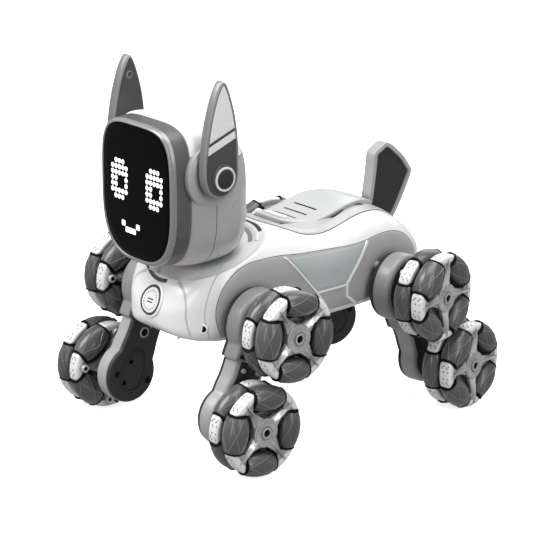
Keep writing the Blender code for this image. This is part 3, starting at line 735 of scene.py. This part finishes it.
def build_back():
    outline = even(spline(mirrored(BACK_HALF), 3), 2.0)
    plate = patch(outline, hull_top, lift=0.7, middle=(0.0, -30.0), rings=14)
    finish_piece("back_plate", plate, "cover", "body", replaces=("back_cover",))
    finish_piece("back_seam", ribbon(outline, 0.4, hull_top, lift=0.1, closed=True), "mesh", "body")

    def swell(a, b, h):
        return hull_top(a, b, h + (2.6 if h > 0 else 0.0))

    ridge = patch(even(spline(mirrored(RAISED_HALF), 3), 2.0), swell, lift=0.9, sink=0.2, edge=0.8,
                  middle=(0.0, -30.0), rings=14)
    finish_piece("back_ridge", ridge, "cover", "body")
    for word, sign in (("left", 1), ("right", -1)):
        groove = spline([(sign * a, b) for a, b in GROOVE], 6, closed=False)
        finish_piece(word + "_back_groove", ribbon(groove, 0.75, hull_top, lift=1.25), "mesh", "body")
    # The vents are near-black strips: painted shade in their slots.
    vents = [ribbon(even_path([(-11.0, ahead), (11.0, ahead)]), 1.0, swell, lift=1.0, sink=-0.2)
             for ahead in (-2.5, -12.0, -21.0)]
    finish_piece("back_vents", joined(vents), "black", "body")

    reach, radius, ahead = 6.6, 3.3, 5.0
    outline = arc((reach, ahead), radius, -90, 90, 9) + arc((-reach, ahead), radius, 90, 270, 9)
    finish_piece("push_button", patch(outline, swell, lift=2.6, sink=0.2, edge=1.1, rings=5), "white",
                 "back_button", replaces=("back_button",))
    for i, side in enumerate((-7.04, 7.04)):
        place = shift(hull_top(side, -79.0, 0.75)) @ turn("Y", -90)
        dot = moved(screw_floor(0.8)[:2], place)
        finish_piece(f"tail_base_dot_{i}", dot, "black", "body")


def build_chest():
    middle = 99.0
    disc = patch(arc((0.0, middle), 11.0, 0, 360, 49)[:-1], hull_front, lift=0.9, sink=0.5, edge=0.5)
    finish_piece("badge_disc", disc, "white", "body", replaces=("chest_badge",))

    def printed(path, half, closed=False):
        return ribbon(path, half, lambda a, b, h: hull_front(a, b, h + 0.8), lift=0.15, closed=closed)

    parts = [printed(arc((0.0, middle), 8.6, 0, 360, 65)[:-1], 1.0, closed=True)]
    ticks = 24
    for k in range(ticks):
        angle = 2 * math.pi * k / ticks
        c, s = math.cos(angle), math.sin(angle)
        parts.append(printed([(r * c, middle + r * s) for r in (5.2, 6.4)], 0.28))
    for height in (99.9, 98.1):
        parts.append(printed([(-2.9, height), (2.9, height)], 0.5))
    part = joined(parts)
    finish_piece("badge_print", part, "mesh", "body")


def build_neck_track():
    """Rings on the sloped top that the head turns over."""
    def track(name, radius, start, end, count, half, lift, mat):
        angles = [math.radians(start + (end - start) * i / (count - 1)) for i in range(count)]
        level = radius * math.cos(NECK_SLOPE)
        path = [(radius * math.sin(t), NECK_AHEAD + level * math.cos(t)) for t in angles]
        finish_piece(name, ribbon(path, half, hull_top, lift=lift), mat, "body")

    track("neck_track_slot", 38.6, 148, 212, 60, 1.2, 0.3, "pan")
    track("neck_track_front", 38.0, -38, 10, 40, 0.8, 0.2, "pan")
    track("neck_track_ring", 35.4, 130, 230, 81, 1.4, 0.7, "white")
    track("neck_track_inner", 31.5, 130, 230, 81, 1.5, 0.25, "pod")


# ------------ head

FACE_AHEAD, FACE_UP = 122.0, 173.0


def head_point(side, depth, up):
    """A point of the head from how far it is behind the face and above its middle."""
    return spot(side, FACE_AHEAD - depth, FACE_UP + up)


def face_ring(depth, half_width, low, high, count=96):
    low_power = 2.9 + 0.3 * smooth_step(14.0, 34.0, depth)
    middle, half = (low + high) / 2, (high - low) / 2
    ring = []
    for i in range(count):
        c, s = around_at(i, count)
        power = 4.2 if s > 0 else low_power
        side, up = half_width * swollen(c, 2 / power), middle + half * swollen(s, 2 / power)
        ring.append(head_point(side, depth, up))
    return ring


HEAD = [  # depth, half width, low, high
    (14.3, 38.4, -47.0, 45.6), (16.0, 39.9, -48.6, 46.6), (19.0, 41.2, -49.6, 47.0),
    (26.0, 42.6, -50.2, 46.4), (34.0, 43.0, -50.2, 45.2), (41.0, 42.7, -50.0, 43.6),
    (48.0, 41.6, -49.6, 41.0), (54.0, 39.6, -49.0, 37.7), (60.0, 36.0, -47.2, 32.7),
    (65.0, 31.0, -44.2, 26.3), (69.0, 24.5, -40.0, 18.0), (72.0, 16.0, -34.0, 9.0), (73.8, 7.0, -25.0, -2.0),
]


def head_sections(first, last, step=1.5):
    """Smoothly interpolated sections between two depths."""
    path = spline(HEAD, 8, closed=False)

    def at(depth):
        for a, b in zip(path, path[1:]):
            if a[0] <= depth <= b[0]:
                share = (depth - a[0]) / max(b[0] - a[0], 1e-9)
                return tuple(p + (q - p) * share for p, q in zip(a, b))
        return path[-1]

    rows = [at(first)]
    for row in path:
        if first < row[0] < last and row[0] - rows[-1][0] > step * 0.6 and last - row[0] > step * 0.3:
            rows.append(row)
    return rows + [at(last)]


def head_piece(name, first, last, replaces, tail=False):
    """The head between two depths, cut off over the neck. Without a tail, its rear edge is eased."""
    rows = head_sections(first, last)
    edge = 0.35
    rings = []
    for i, (depth, half, low, high) in enumerate(rows):
        eased = (half - edge, low + edge, high - edge)
        if i == 0:
            rings.append(face_ring(depth, *eased))
            depth += edge * 0.6
        if i == len(rows) - 1 and not tail:
            rings.append(face_ring(depth - edge * 0.6, half, low, high))
            rings.append(face_ring(depth, *eased))
            break
        rings.append(face_ring(depth, half, low, high))
    over_neck = Vector((0, math.sin(NECK_SLOPE), -math.cos(NECK_SLOPE)))
    shape = mesh_of(*cut(*skin(rings), spot(0, NECK_AHEAD, NECK_UP + 1.2), over_neck))

    # The crown is white above a level seam, which is a groove; the sides are pearl grey.
    half_seam = 0.28
    seam = head_point(0, 0, 22.5)
    up = Vector((0, 0, 1))
    lines = []
    for offset in (-half_seam, 0.0, half_seam):
        lines.append([v for v in split(shape, seam + up * offset, up) if isinstance(v, bmesh.types.BMVert)])
    shape.normal_update()
    for vert in lines[1]:
        vert.co -= vert.normal * 0.35
    mats = []
    for face in shape.faces:
        height = face.calc_center_median().z - seam.z
        mats.append(0 if height > half_seam else (2 if abs(height) < half_seam else 1))
    points, faces = lists_of(shape)
    finish_piece(name, (points, faces, mats), "white pearl mesh", "head",
                 replaces=replaces, sharp=40)


SCREEN_HALF, SCREEN_LOW, SCREEN_HIGH = 34.0, -43.7, 43.2
BEZEL_DEPTH = 13.9
EYE = (".XXX.", "XXXXX", "XXXXX", "XX..X", "XX..X", "XXXXX", ".XXX.")
LED_SLANT = 0.034


def build_face():
    def ring(depth, grow):
        return face_ring(depth, SCREEN_HALF + grow, SCREEN_LOW - grow * 1.08, SCREEN_HIGH + grow * 0.75)

    lip = ((1.1, 0.25), (0.25, 0.35), (0.0, 0.6), (0.0, 1.2), (0.5, 1.9), (1.1, 2.5), (1.6, 2.8))
    wall = [(1.8 + 12.0 * share, 3.0 + 1.3 * share) for share in (0.15, 0.4, 0.7, 0.93)]
    rings = [ring(*row) for row in (*lip, *wall, (BEZEL_DEPTH, 4.1), (BEZEL_DEPTH, 0.25))]
    points, faces = skin(rings, around=True)
    mats = [1 if face // len(rings[0]) < len(lip) else 0 for face in range(len(faces))]
    finish_piece("face_frame", (points, faces, mats), "bezel lip", "head",
                 replaces=("face_bezel",), sharp=42)

    glass = [face_ring(*row) for row in ((2.6, 34.1, -43.8, 43.25), (0.95, 34.1, -43.8, 43.25),
                                         (0.75, 33.7, -43.3, 42.9), (0.55, 30.0, -39.0, 39.0),
                                         (0.45, 15.0, -20.0, 20.0))]
    finish_piece("face_glass", skin(glass), "screen", "head", replaces=("face_screen",))
    build_leds()


def build_leds():
    """The eyes and the smile, in lit dots that stand just behind the front of the screen."""
    parts = []

    def dot(side, up, half_w, half_h, power):
        """One dot, with side measured at the middle height of the face."""
        side += LED_SLANT * up
        rings = []
        for depth, scale in ((0.5, 1.0), (0.22, 1.0), (0.12, 0.86)):
            turns = [around_at(i, 16) for i in range(16)]
            rings.append([head_point(side + half_w * scale * swollen(c, power), depth,
                                     up + half_h * scale * swollen(s, power)) for c, s in turns])
        parts.append(skin(rings))

    for centre in (-17.6, 18.1):
        for r, row in enumerate(EYE):
            for c, mark in enumerate(row):
                if mark == "X":
                    dot(centre + (c - 2) * 3.5, 5.5 + (3 - r) * 3.93, 1.45, 1.6, 1.0)
    corner_up, lip_up = -23.0, -26.7
    for offset, up in ((-7.4, corner_up), (-3.45, lip_up), (0.0, lip_up), (3.45, lip_up), (7.4, corner_up)):
        dot(offset - 5.6, up, 1.7, 1.8, 0.35)
    part = joined(parts)
    finish_piece("face_leds", part, "led", "head", replaces=("led_board",))


EAR = [(93.0, 174.7), (87.5, 175.8), (82.0, 180.0), (79.5, 187.0), (79.2, 198.0), (79.6, 212.0),
       (81.6, 226.0), (84.8, 238.0), (88.2, 246.8), (91.0, 249.5), (93.8, 247.6), (98.0, 239.6),
       (102.4, 225.8), (105.4, 211.0), (107.0, 197.0), (106.8, 187.0), (103.6, 179.6), (98.6, 175.8)]
EAR_PIVOT = (91.5, 187.5)
EAR_OUTER = 6.6  # from the ear's inner face to the field on its outer face


def clipped(outline, low, high=None):
    """The part of an ear's outline above one slanted line, and under another."""
    slant = Vector((0.36, 1.0, 0)).normalized()
    shape = bmesh.new()
    shape.faces.new([shape.verts.new((a, b, 0)) for a, b in outline])
    split(shape, Vector((92.0, low, 0)), -slant, clear=True)
    if high is not None:
        split(shape, Vector((92.0, high, 0)), slant, clear=True)
    out = [(v.co.x, v.co.y) for v in shape.faces[:][0].verts]
    shape.free()
    return even(out, 2.0)


def build_ear(word, sign):
    body = word + "_ear"

    def at(a, b, out):
        return spot(sign * (43.9 + out), a, b)

    def inner(a, b, h):
        return at(a, b, -h)

    def outer(a, b, h):
        return at(a, b, EAR_OUTER + h)

    def turned(parts, a, b, out, way=sign):
        return moved(joined(parts), shift(at(a, b, out)) @ facing(way))

    outline = spline(EAR, 4)
    profile = ((0.0, 1.6), (0.5, 0.6), (1.4, 0.1), (2.4, 0.0), (5.4, 0.0), (6.3, 0.25), (6.9, 0.9),
               (6.95, 1.5), (6.75, 1.9), (EAR_OUTER, 2.0))
    points, faces = skin([[at(a, b, out) for a, b in inward(outline, inset)] for out, inset in profile])
    mats = [1] * (len(faces) - 2) + [0, 0]
    finish_piece(word + "_ear_blade", (points, faces, mats), "ear ear_edge", body,
                 replaces=(word + "_ear",), sharp=42)

    field = patch(trimmed(outline, 2.4), inner, lift=0.25, sink=-0.3, edge=0.5, middle=(92.0, 205.0))
    finish_piece(word + "_ear_inner", field, "ear", body)
    part = turned([screw(1.7)], 92.2, 237.0, -0.1, -sign)
    finish_piece(word + "_ear_screw", part, "ear_edge black", body)

    field = trimmed(outline, 2.2)
    inlay = patch(clipped(field, 215.5), outer, lift=0.35, sink=0.3, edge=0.35)
    finish_piece(word + "_ear_inlay", inlay, "inlay", body)
    stripe = patch(clipped(field, 208.4, 213.4), outer, lift=0.35, sink=0.3, edge=0.3)
    finish_piece(word + "_ear_stripe", stripe, "inlay", body)

    collar = lathe([(-0.5, 0), (-0.5, 9.6), (0.3, 9.6), (0.9, 9.0), (1.1, 8.2), (1.1, 0)], 48, 1)
    ring = lathe([(0.5, 0), (0.5, 7.9), (1.8, 7.9), (2.05, 7.6), (2.05, 6.8), (1.7, 6.6), (1.7, 0)], 48)
    disc = lathe([(0.5, 0), (0.5, 6.3), (1.9, 6.3), (2.2, 5.9), (2.35, 4.0), (2.4, 0)], 48, 2)
    part = turned([collar, ring, disc], *EAR_PIVOT, EAR_OUTER)
    finish_piece(word + "_ear_hub", part, "inlay ear dark", body,
                 replaces=(word + "_ear_button",))
    # The head's swelling round the ear.
    swell = lathe([(0, 0), (0, 21.0), (4.4, 21.0), (5.6, 19.6), (6.2, 17.4), (6.35, 15.0), (6.35, 0)], 64)
    part = turned([swell], *EAR_PIVOT, -7.0)
    finish_piece(word + "_ear_seat", part, "pearl", "head")


def build_head():
    head_piece("head_front", 14.4, 30.9, ("head_front_shell",))
    head_piece("head_rear", 31.15, 73.8, ("head_rear_shell",), tail=True)
    build_face()
    build_ear("left", 1)
    build_ear("right", -1)


# ------------ tail

TAIL = [(-74.6, 124.0), (-76.0, 133.0), (-77.6, 143.0), (-79.2, 154.0), (-80.4, 163.0), (-85.5, 166.5),
        (-91.0, 169.0), (-96.0, 167.0), (-101.5, 162.5), (-107.5, 157.0), (-112.0, 151.0), (-115.4, 145.0),
        (-112.6, 138.0), (-109.0, 131.0), (-105.0, 124.0), (-100.5, 117.0), (-95.0, 111.5), (-88.0, 109.0),
        (-81.0, 111.5), (-76.0, 117.0)]


def build_tail():
    outline = spline(TAIL, 3)
    half = ((3.0, 3.3), (4.5, 3.0), (4.5, 0.6), (4.1, 0.1), (3.5, 0.0))  # side, inset
    profile = [(-side, inset) for side, inset in half] + list(half[::-1])
    points, faces = skin([[spot(side, a, b) for a, b in inward(outline, inset)] for side, inset in profile])
    mats = [0] * (len(faces) - 2) + [1, 1]
    finish_piece("tail_blade", (points, faces, mats), "tail tail_dark", "tail",
                 replaces=("tail",), sharp=42)


# ------------ wheels and legs

R = 30.0  # wheel radius
AXIS = 21.7  # from the wheel's axle to a roller's
ROW = 6.6  # from the wheel's middle to a row of rollers
HALF_ROLLER = 11.7


def barrel_radius(along):
    return math.sqrt(R * R - along * along) - AXIS


def roller_rib(start, twist):
    """A thin rib that winds along the barrel."""
    rings = []
    for i in range(13):
        along = (HALF_ROLLER - 0.3) * (2 * i / 12 - 1)
        wound = start + twist * math.radians(36.0) * along / HALF_ROLLER
        r = barrel_radius(along)
        ring = []
        for side, rise in ((-1, -0.15), (-0.35, 0.2), (0.35, 0.2), (1, -0.15)):
            angle = wound + side * 0.42 / r
            ring.append((along, (r + rise) * math.cos(angle), (r + rise) * math.sin(angle)))
        rings.append(ring)
    return (*skin(rings), 2)


def roller():
    """One barrel with its lattice of ribs, and the dark bushes at its ends, about the X axis. The bushes'
    near black is partly their own dark rubber and partly painted shade in the gaps beside them.
    """
    half = HALF_ROLLER
    lip = [(half + 0.1, 0), (half + 0.1, 4.6), (half + 0.05, barrel_radius(half) - 0.5)]
    steps = [half * math.sin(math.pi * (i / 14 - 0.5)) for i in range(15)]
    profile = [(-t, r) for t, r in lip] + [(t, barrel_radius(t)) for t in steps] + lip[::-1]
    parts = [lathe(profile, 32)]
    bush = lathe([(-0.5, 0), (-0.5, 5.9), (-0.2, 6.15), (0.5, 6.15), (0.75, 5.8), (0.75, 0)], 24, 1)
    for end in (-1, 1):
        parts.append(moved(bush, shift((end * (half + 0.35), 0, 0)) @ Matrix.Scale(end, 4, (1, 0, 0))))
    winds = 5
    for k in range(winds):
        parts += [roller_rib(2 * math.pi * k / winds, twist) for twist in (-1, 1)]
    return joined(parts)


def wheel_rollers():
    one = moved(roller(), shift((0, 0, AXIS)) @ turn("Z", 90))
    return joined(round_axle(one, 0.0, ROW) + round_axle(one, 45.0, -ROW))


BLOCK_SPANS = (0.06, 0.18, 0.32, 0.46, 0.6, 0.74, 0.88, 0.97, 1.0)
BLOCK_ENDS = {1.0: 1.7, 0.97: 0.8, 0.88: 0.2}  # how far the block shrinks near its ends


def block_section(low, high, wide, corner):
    """A rounded box of (across, radius) points, with more of them where dimples can be pressed in."""
    small = 1.0
    points = []
    for quarter, (x, r, size) in enumerate((
        (wide - corner, high - corner, corner), (corner - wide, high - corner, corner),
        (small - wide, low + small, small), (wide - small, low + small, small),
    )):
        points += arc((x, r), size, 90 * quarter, 90 * quarter + 90, 5)
    return even(points, 1.25)


def rim_block(low=24.3, high=29.3, wide=4.7, dimples=True):
    """The block between two rollers: a wedge whose ends face them, about angle 0 along +Z."""
    outline = block_section(low, high, wide, 2.2 if dimples else 1.2)
    spans = [-u for u in BLOCK_SPANS[::-1]] + list(BLOCK_SPANS)
    middle = (low + high) / 2
    rings = []
    for u in spans:
        shy = BLOCK_ENDS.get(abs(u), 0.0)
        ring = []
        for x, r in outline:
            r = middle + (r - middle) * (1 - shy / 5.2)
            reach = math.radians(45.0) - math.asin(min(0.7, 12.75 / r))
            angle = u * max(reach, 0.01)
            ring.append((x * (1 - shy / wide), r * math.sin(angle), r * math.cos(angle)))
        rings.append(ring)
    shape = mesh_of(*skin(rings))
    bmesh.ops.recalc_face_normals(shape, faces=shape.faces)
    shape.faces.ensure_lookup_table()
    crown = []
    for index in range((len(spans) - 1) * len(outline)):
        i, j = divmod(index, len(outline))
        centre = shape.faces[index].calc_center_median()
        on_top = math.hypot(centre.y, centre.z) >= 28.6 and abs(centre.x) <= 3.2
        chosen = i in (3, 6, 10, 13) and j % 3 == 0 or i in (4, 12) and j % 3 == 1
        if dimples and on_top and chosen:
            crown.append(shape.faces[index])
    # The dimples' floors get a darker grey: painted shade in them.
    bmesh.ops.inset_individual(shape, faces=crown, thickness=0.18, depth=-0.38)
    for face in crown:
        face.material_index = 1
    mats = [face.material_index for face in shape.faces]
    return (*lists_of(shape), mats)


def wheel_blocks():
    one = rim_block()
    return joined(round_axle(one, 45.0, ROW) + round_axle(one, 0.0, -ROW))


HUB_FACE = 11.6  # from the wheel's middle to its face


def star_arm(sign):
    """One pointed arm along +Z whose ridge stands on the wheel's face."""
    base = HUB_FACE - 1.6
    rings = []
    for r, wide, rise in (  # distance from the axle, half width, ridge height
        (8.0, 5.2, 1.5), (11.5, 3.9, 2.3), (15.5, 2.7, 2.9),
        (20.0, 1.7, 3.1), (24.5, 0.8, 2.8), (27.3, 0.12, 2.3),
    ):
        half = ((-1.5, wide), (0.4, wide * 0.9), (rise * 0.45, wide * 0.42), (rise, 0.12))
        rings.append([(sign * (base + out), across, r) for out, across in half]
                     + [(sign * (base + out), -across, r) for out, across in half[::-1]])
    return skin(rings)


def hub_rib():
    """One of the fine ribs on the hub's face, which run out from the axle."""
    rings = []
    for z, lift in ((5.0, -0.28), (8.3, 0.06)):
        top, foot = HUB_FACE + lift + 0.16, HUB_FACE + lift - 0.6
        rings.append([(foot, 0.2, z), (top, 0.13, z), (top, -0.13, z), (foot, -0.2, z)])
    return (*skin(rings), 2)


def wheel_hub():
    x = HUB_FACE
    disc = lathe([(1.0 - x, 0), (1.0 - x, 8.4), (1.8 - x, 9.4), (-5.2, 10.0), (-5.0, 12.6), (5.0, 12.6),
                  (5.2, 10.0), (x - 1.2, 9.9), (x - 0.3, 9.5), (x, 8.9), (x - 0.1, 8.2), (x - 0.5, 4.5),
                  (x - 0.3, 4.0), (x + 0.7, 3.8), (x + 0.9, 3.4), (x + 0.9, 2.7), (x + 0.6, 2.4),
                  (x - 3.5, 2.35), (x - 3.5, 0)], 56)
    # The axle's pit is near black: painted shade in the hole.
    parts = [disc, lathe([(0, 0), (0, 2.3), (x - 1.6, 2.3), (x - 1.6, 0)], 24, 1)]
    ribs = 40
    parts += [moved(hub_rib(), turn("X", 360 * k / ribs)) for k in range(ribs)]

    boss = lathe([(0, 0), (0, 2.9), (2.6, 2.6), (2.8, 2.4), (2.8, 1.5), (2.2, 1.3), (2.2, 0)], 20)
    # The bosses' pits are near black: painted shade in the holes.
    pit = lathe([(0, 0), (0, 1.35), (2.3, 1.35), (2.3, 0)], 16, 1)
    at_boss = shift((-11.2, 0, 23.4)) @ facing(-1)
    web = rim_block(18.2, 24.9, 4.3, dimples=False)[:2]
    for sign, start in ((1, 45), (-1, 0)):
        foot = [(sign * 3.0 + dx, dy) for dx, dy in ((-1.6, -2.4), (1.6, -2.4), (1.6, 2.4), (-1.6, 2.4))]
        spoke = skin([[(a, b, r) for a, b in foot] for r in (9.0, 20.0)])
        parts += round_axle(star_arm(sign), start) + round_axle(spoke, start)
        parts += round_axle(web, start, sign * ROW)
    parts += round_axle(moved(joined([boss, pit]), at_boss))
    return joined(parts)


POD_INNER, POD_COVER, POD_OUTER = -36.8, -33.6, -22.8
LEG_LENGTH = 63.0
LEGS = {  # swing, wheel turn, slide of the lower wheel
    "front_left": (-24.0, -9.0, -2.0), "front_right": (24.0, 9.0, -2.0),
    "rear_left": (28.5, 45.0, 3.0), "rear_right": (-28.5, 45.0, 3.0),
}


def sleeve_outline():
    half = arc((0, 0), 23.0, 90.0, -46.0, 22)
    return mirrored_leg(half + [(16.2, -20.0), (16.2, -25.6), (15.6, -26.4), (8.0, -27.0), (0.0, -27.2)])


def shin_outline():
    half = [(0.0, -12.0), (8.0, -12.0), (13.4, -14.0), (13.5, -24.0), (13.4, -33.0), (13.6, -38.0),
            (14.4, -43.5)]
    return mirrored_leg(half + arc((0, -LEG_LENGTH), 20.0, 42.0, -90.0, 22))


def mirrored_leg(half):
    return even(mirrored(half), 2.0)


def inset_rings(outline, levels):
    """Rings of the outline at each (distance outwards, inset)."""
    return [[(out, a, b) for a, b in inward(outline, inset)] for out, inset in levels]


def leg_parts():
    """The pieces of one leg in its own frame: X outwards, and Z along the leg towards the hip."""
    sleeve, shin = sleeve_outline(), shin_outline()
    back, front = POD_COVER + 0.3, POD_OUTER + 2.0
    shells, plates = [], []
    # The sleeve gets the darker grey and the shin the lighter one: painted shade and painted light on one
    # plastic.
    for mat, outline, edge, face, wide in ((0, sleeve, 3.4, front, 0.0), (1, shin, 4.4, front - 1.2, 1.0)):
        shells.append((*skin(inset_rings(outline, (
            (back, 0.5), (back + 0.5, 0.0), (front - edge, 0.0), (front - 1.9 - wide * 1.1, 0.35),
            (face - 0.8, 1.1), (face - 0.15, 2.3), (face, 3.4), (face, 4.0)))), mat))
        level = face + 0.15
        raised = ((level - 1.0, 3.9), (level - 0.1, 3.9), (level + 0.1, 4.3))
        plates.append(skin(inset_rings(outline, raised)))
    for outline, level, edge in ((sleeve, POD_INNER, 1.3), (shin, POD_INNER + 0.5, 1.2)):
        plates.append(skin(inset_rings(outline, (
            (POD_COVER, 0.5), (level + edge, 0.5), (level + 0.4, 1.0), (level, 1.9)))))

    # On the inner cover: a drop-shaped rim, screw holes and pegs.
    level = POD_INNER + 0.5

    def inner(a, b, h):
        return Vector((level - h, a, b))

    drop = arc((0, -64.0), 10.6, 205.0, 335.0, 14)
    drop += spline([(9.6, -60.0), (8.0, -53.0), (5.6, -48.0), (2.4, -45.6), (-2.4, -45.6), (-5.6, -48.0),
                    (-8.0, -53.0), (-9.6, -60.0)], 3, closed=False)
    drop = even(drop, 1.5)
    plates.append(ribbon(drop, 0.55, inner, lift=0.5, closed=True))
    plates.append((*patch(inward(drop, 0.8), inner, lift=0.12, sink=0.2, edge=0.1, rings=3), 2))
    for a, b, size in ((13.0, -65.4, 2.0), (-14.4, -64.3, 2.0), (1.0, -33.5, 2.6), (4.5, -55.0, 1.5),
                       (4.5, -70.0, 1.5)):
        place = shift((level, a, b)) @ facing(-1)
        plates.append(moved(screw(size, rim=3 if size > 2.3 else 0), place))
    peg = lathe([(-1.0, 0), (-1.0, 1.7), (1.2, 1.7), (1.7, 1.3), (1.9, 0)], 20, 3)
    for a, b in ((6.0, -31.0), (-6.5, -31.5)):
        plates.append(moved(peg, shift((front - 0.6, a, b))))
    return joined(shells), joined(plates)


def leg_frame(leg):
    """The turn from the row frame to a leg's: X along its axles outwards, Z up."""
    sign = 1 if "left" in leg else -1
    outward = Vector(joints[leg + "_hip_swing"]["axis"]).normalized() * sign
    up = Vector((0, 0, 1))
    return Matrix((outward, up.cross(outward), up)).transposed().to_4x4()


def build_running_gear():
    rollers = to_mesh("wheel_rollers", wheel_rollers(), "rubber black rib")
    blocks = to_mesh("wheel_blocks", wheel_blocks(), "block dimple")
    hub = to_mesh("wheel_hub", wheel_hub(), "hub black inlay")
    shell, plates = leg_parts()
    leg_shell = to_mesh("leg_shell", shell, "pod pod_light")
    leg_cover = to_mesh("leg_cover", plates, "dark black tail_dark pod_light")
    for leg, (swing, phase, slide) in LEGS.items():
        basis = leg_frame(leg)
        hip = shift(Vector(joints[leg + "_hip_swing"]["pos_m"])) @ basis
        place = hip @ turn("X", swing)
        attach(leg + "_leg", leg_shell, leg + "_leg", (leg + "_leg_shell",), place)
        attach(leg + "_leg_plates", leg_cover, leg + "_leg", (leg + "_leg_cover",), place)
        for level, along in (("upper", 0.0), ("lower", slide * MM)):
            body = f"{leg}_{level}_wheel"
            centre = shift(Vector(joints[body + "_spin"]["pos_m"])) @ basis
            place = centre @ shift((along, 0, 0)) @ turn("X", phase)
            attach(body + "_tyres", rollers, body, (body + "_rollers",), place)
            attach(body + "_blocks", blocks, body, (body + "_hub",), place)
            attach(body + "_star", hub, body, (), place)


def build_axles():
    """Rods that end inside the hubs, in place of the full axles."""
    ends = (("_hip_axle", "_upper", -45.0), ("_lower_axle", "_lower", POD_COVER + 1.0))
    for leg in LEGS:
        for axle, wheel, inner in ends:
            node = leg + axle
            centre = Vector(joints[leg + wheel + "_wheel_spin"]["pos_m"])
            parent = frame["nodes"][node].parent
            holder = [name for name, body in frame["bodies"].items() if parent == body][0]
            rod = lathe([(inner, 0), (inner, 4.4), (-26.0, 4.4), (-25.4, 2.4), (6.0, 2.4), (6.4, 2.0),
                         (6.4, 0)], 24)
            mesh = to_mesh(node + "_rod", rod, "steel")
            attach(node + "_rod", mesh, holder, (node,), shift(centre) @ leg_frame(leg))


def build_pegs():
    """Stepped pegs that stand out of the body above the rear hips."""
    steps = [
        lathe([(0, 0), (0, 2.9), (8.0, 2.9), (8.6, 2.5), (8.6, 0)], 28),
        # The narrow middle step is near black: painted shade in the groove.
        lathe([(8.0, 0), (8.0, 2.3), (10.0, 2.3), (10.0, 0)], 28, 1),
        lathe([(9.8, 0), (9.8, 2.7), (17.5, 2.7), (18.1, 2.2), (18.1, 0)], 28),
    ]
    for word, sign in (("left", 1), ("right", -1)):
        place = shift(spot(sign * 41.0, -45.0, 100.5)) @ facing(sign)
        part = moved(joined(steps), place)
        finish_piece(word + "_hip_peg", part, "pod_light black", "body")


def dress_cad():
    """CAD nodes whose names hold one of the listed words get a finished material."""
    looks = {"hip_axle": "pod", "lower_axle": "steel", "gearbox": "pod", "battery_pack": "battery",
             "circuit_board": "board", "tail_pin": "steel", "neck_bearing": "pod",
             "neck_post": "dark", "battery_cover": "pan", "power_switch": "dark", "speaker": "dark"}
    for name, node in frame["nodes"].items():
        for word, mat in looks.items():
            if word in name:
                for slot in node.material_slots:
                    slot.material = MATS[mat]


build_camera()
build_lights()
build_floor()
build_body()
build_head()
build_tail()
build_running_gear()
build_axles()
build_pegs()
dress_cad()
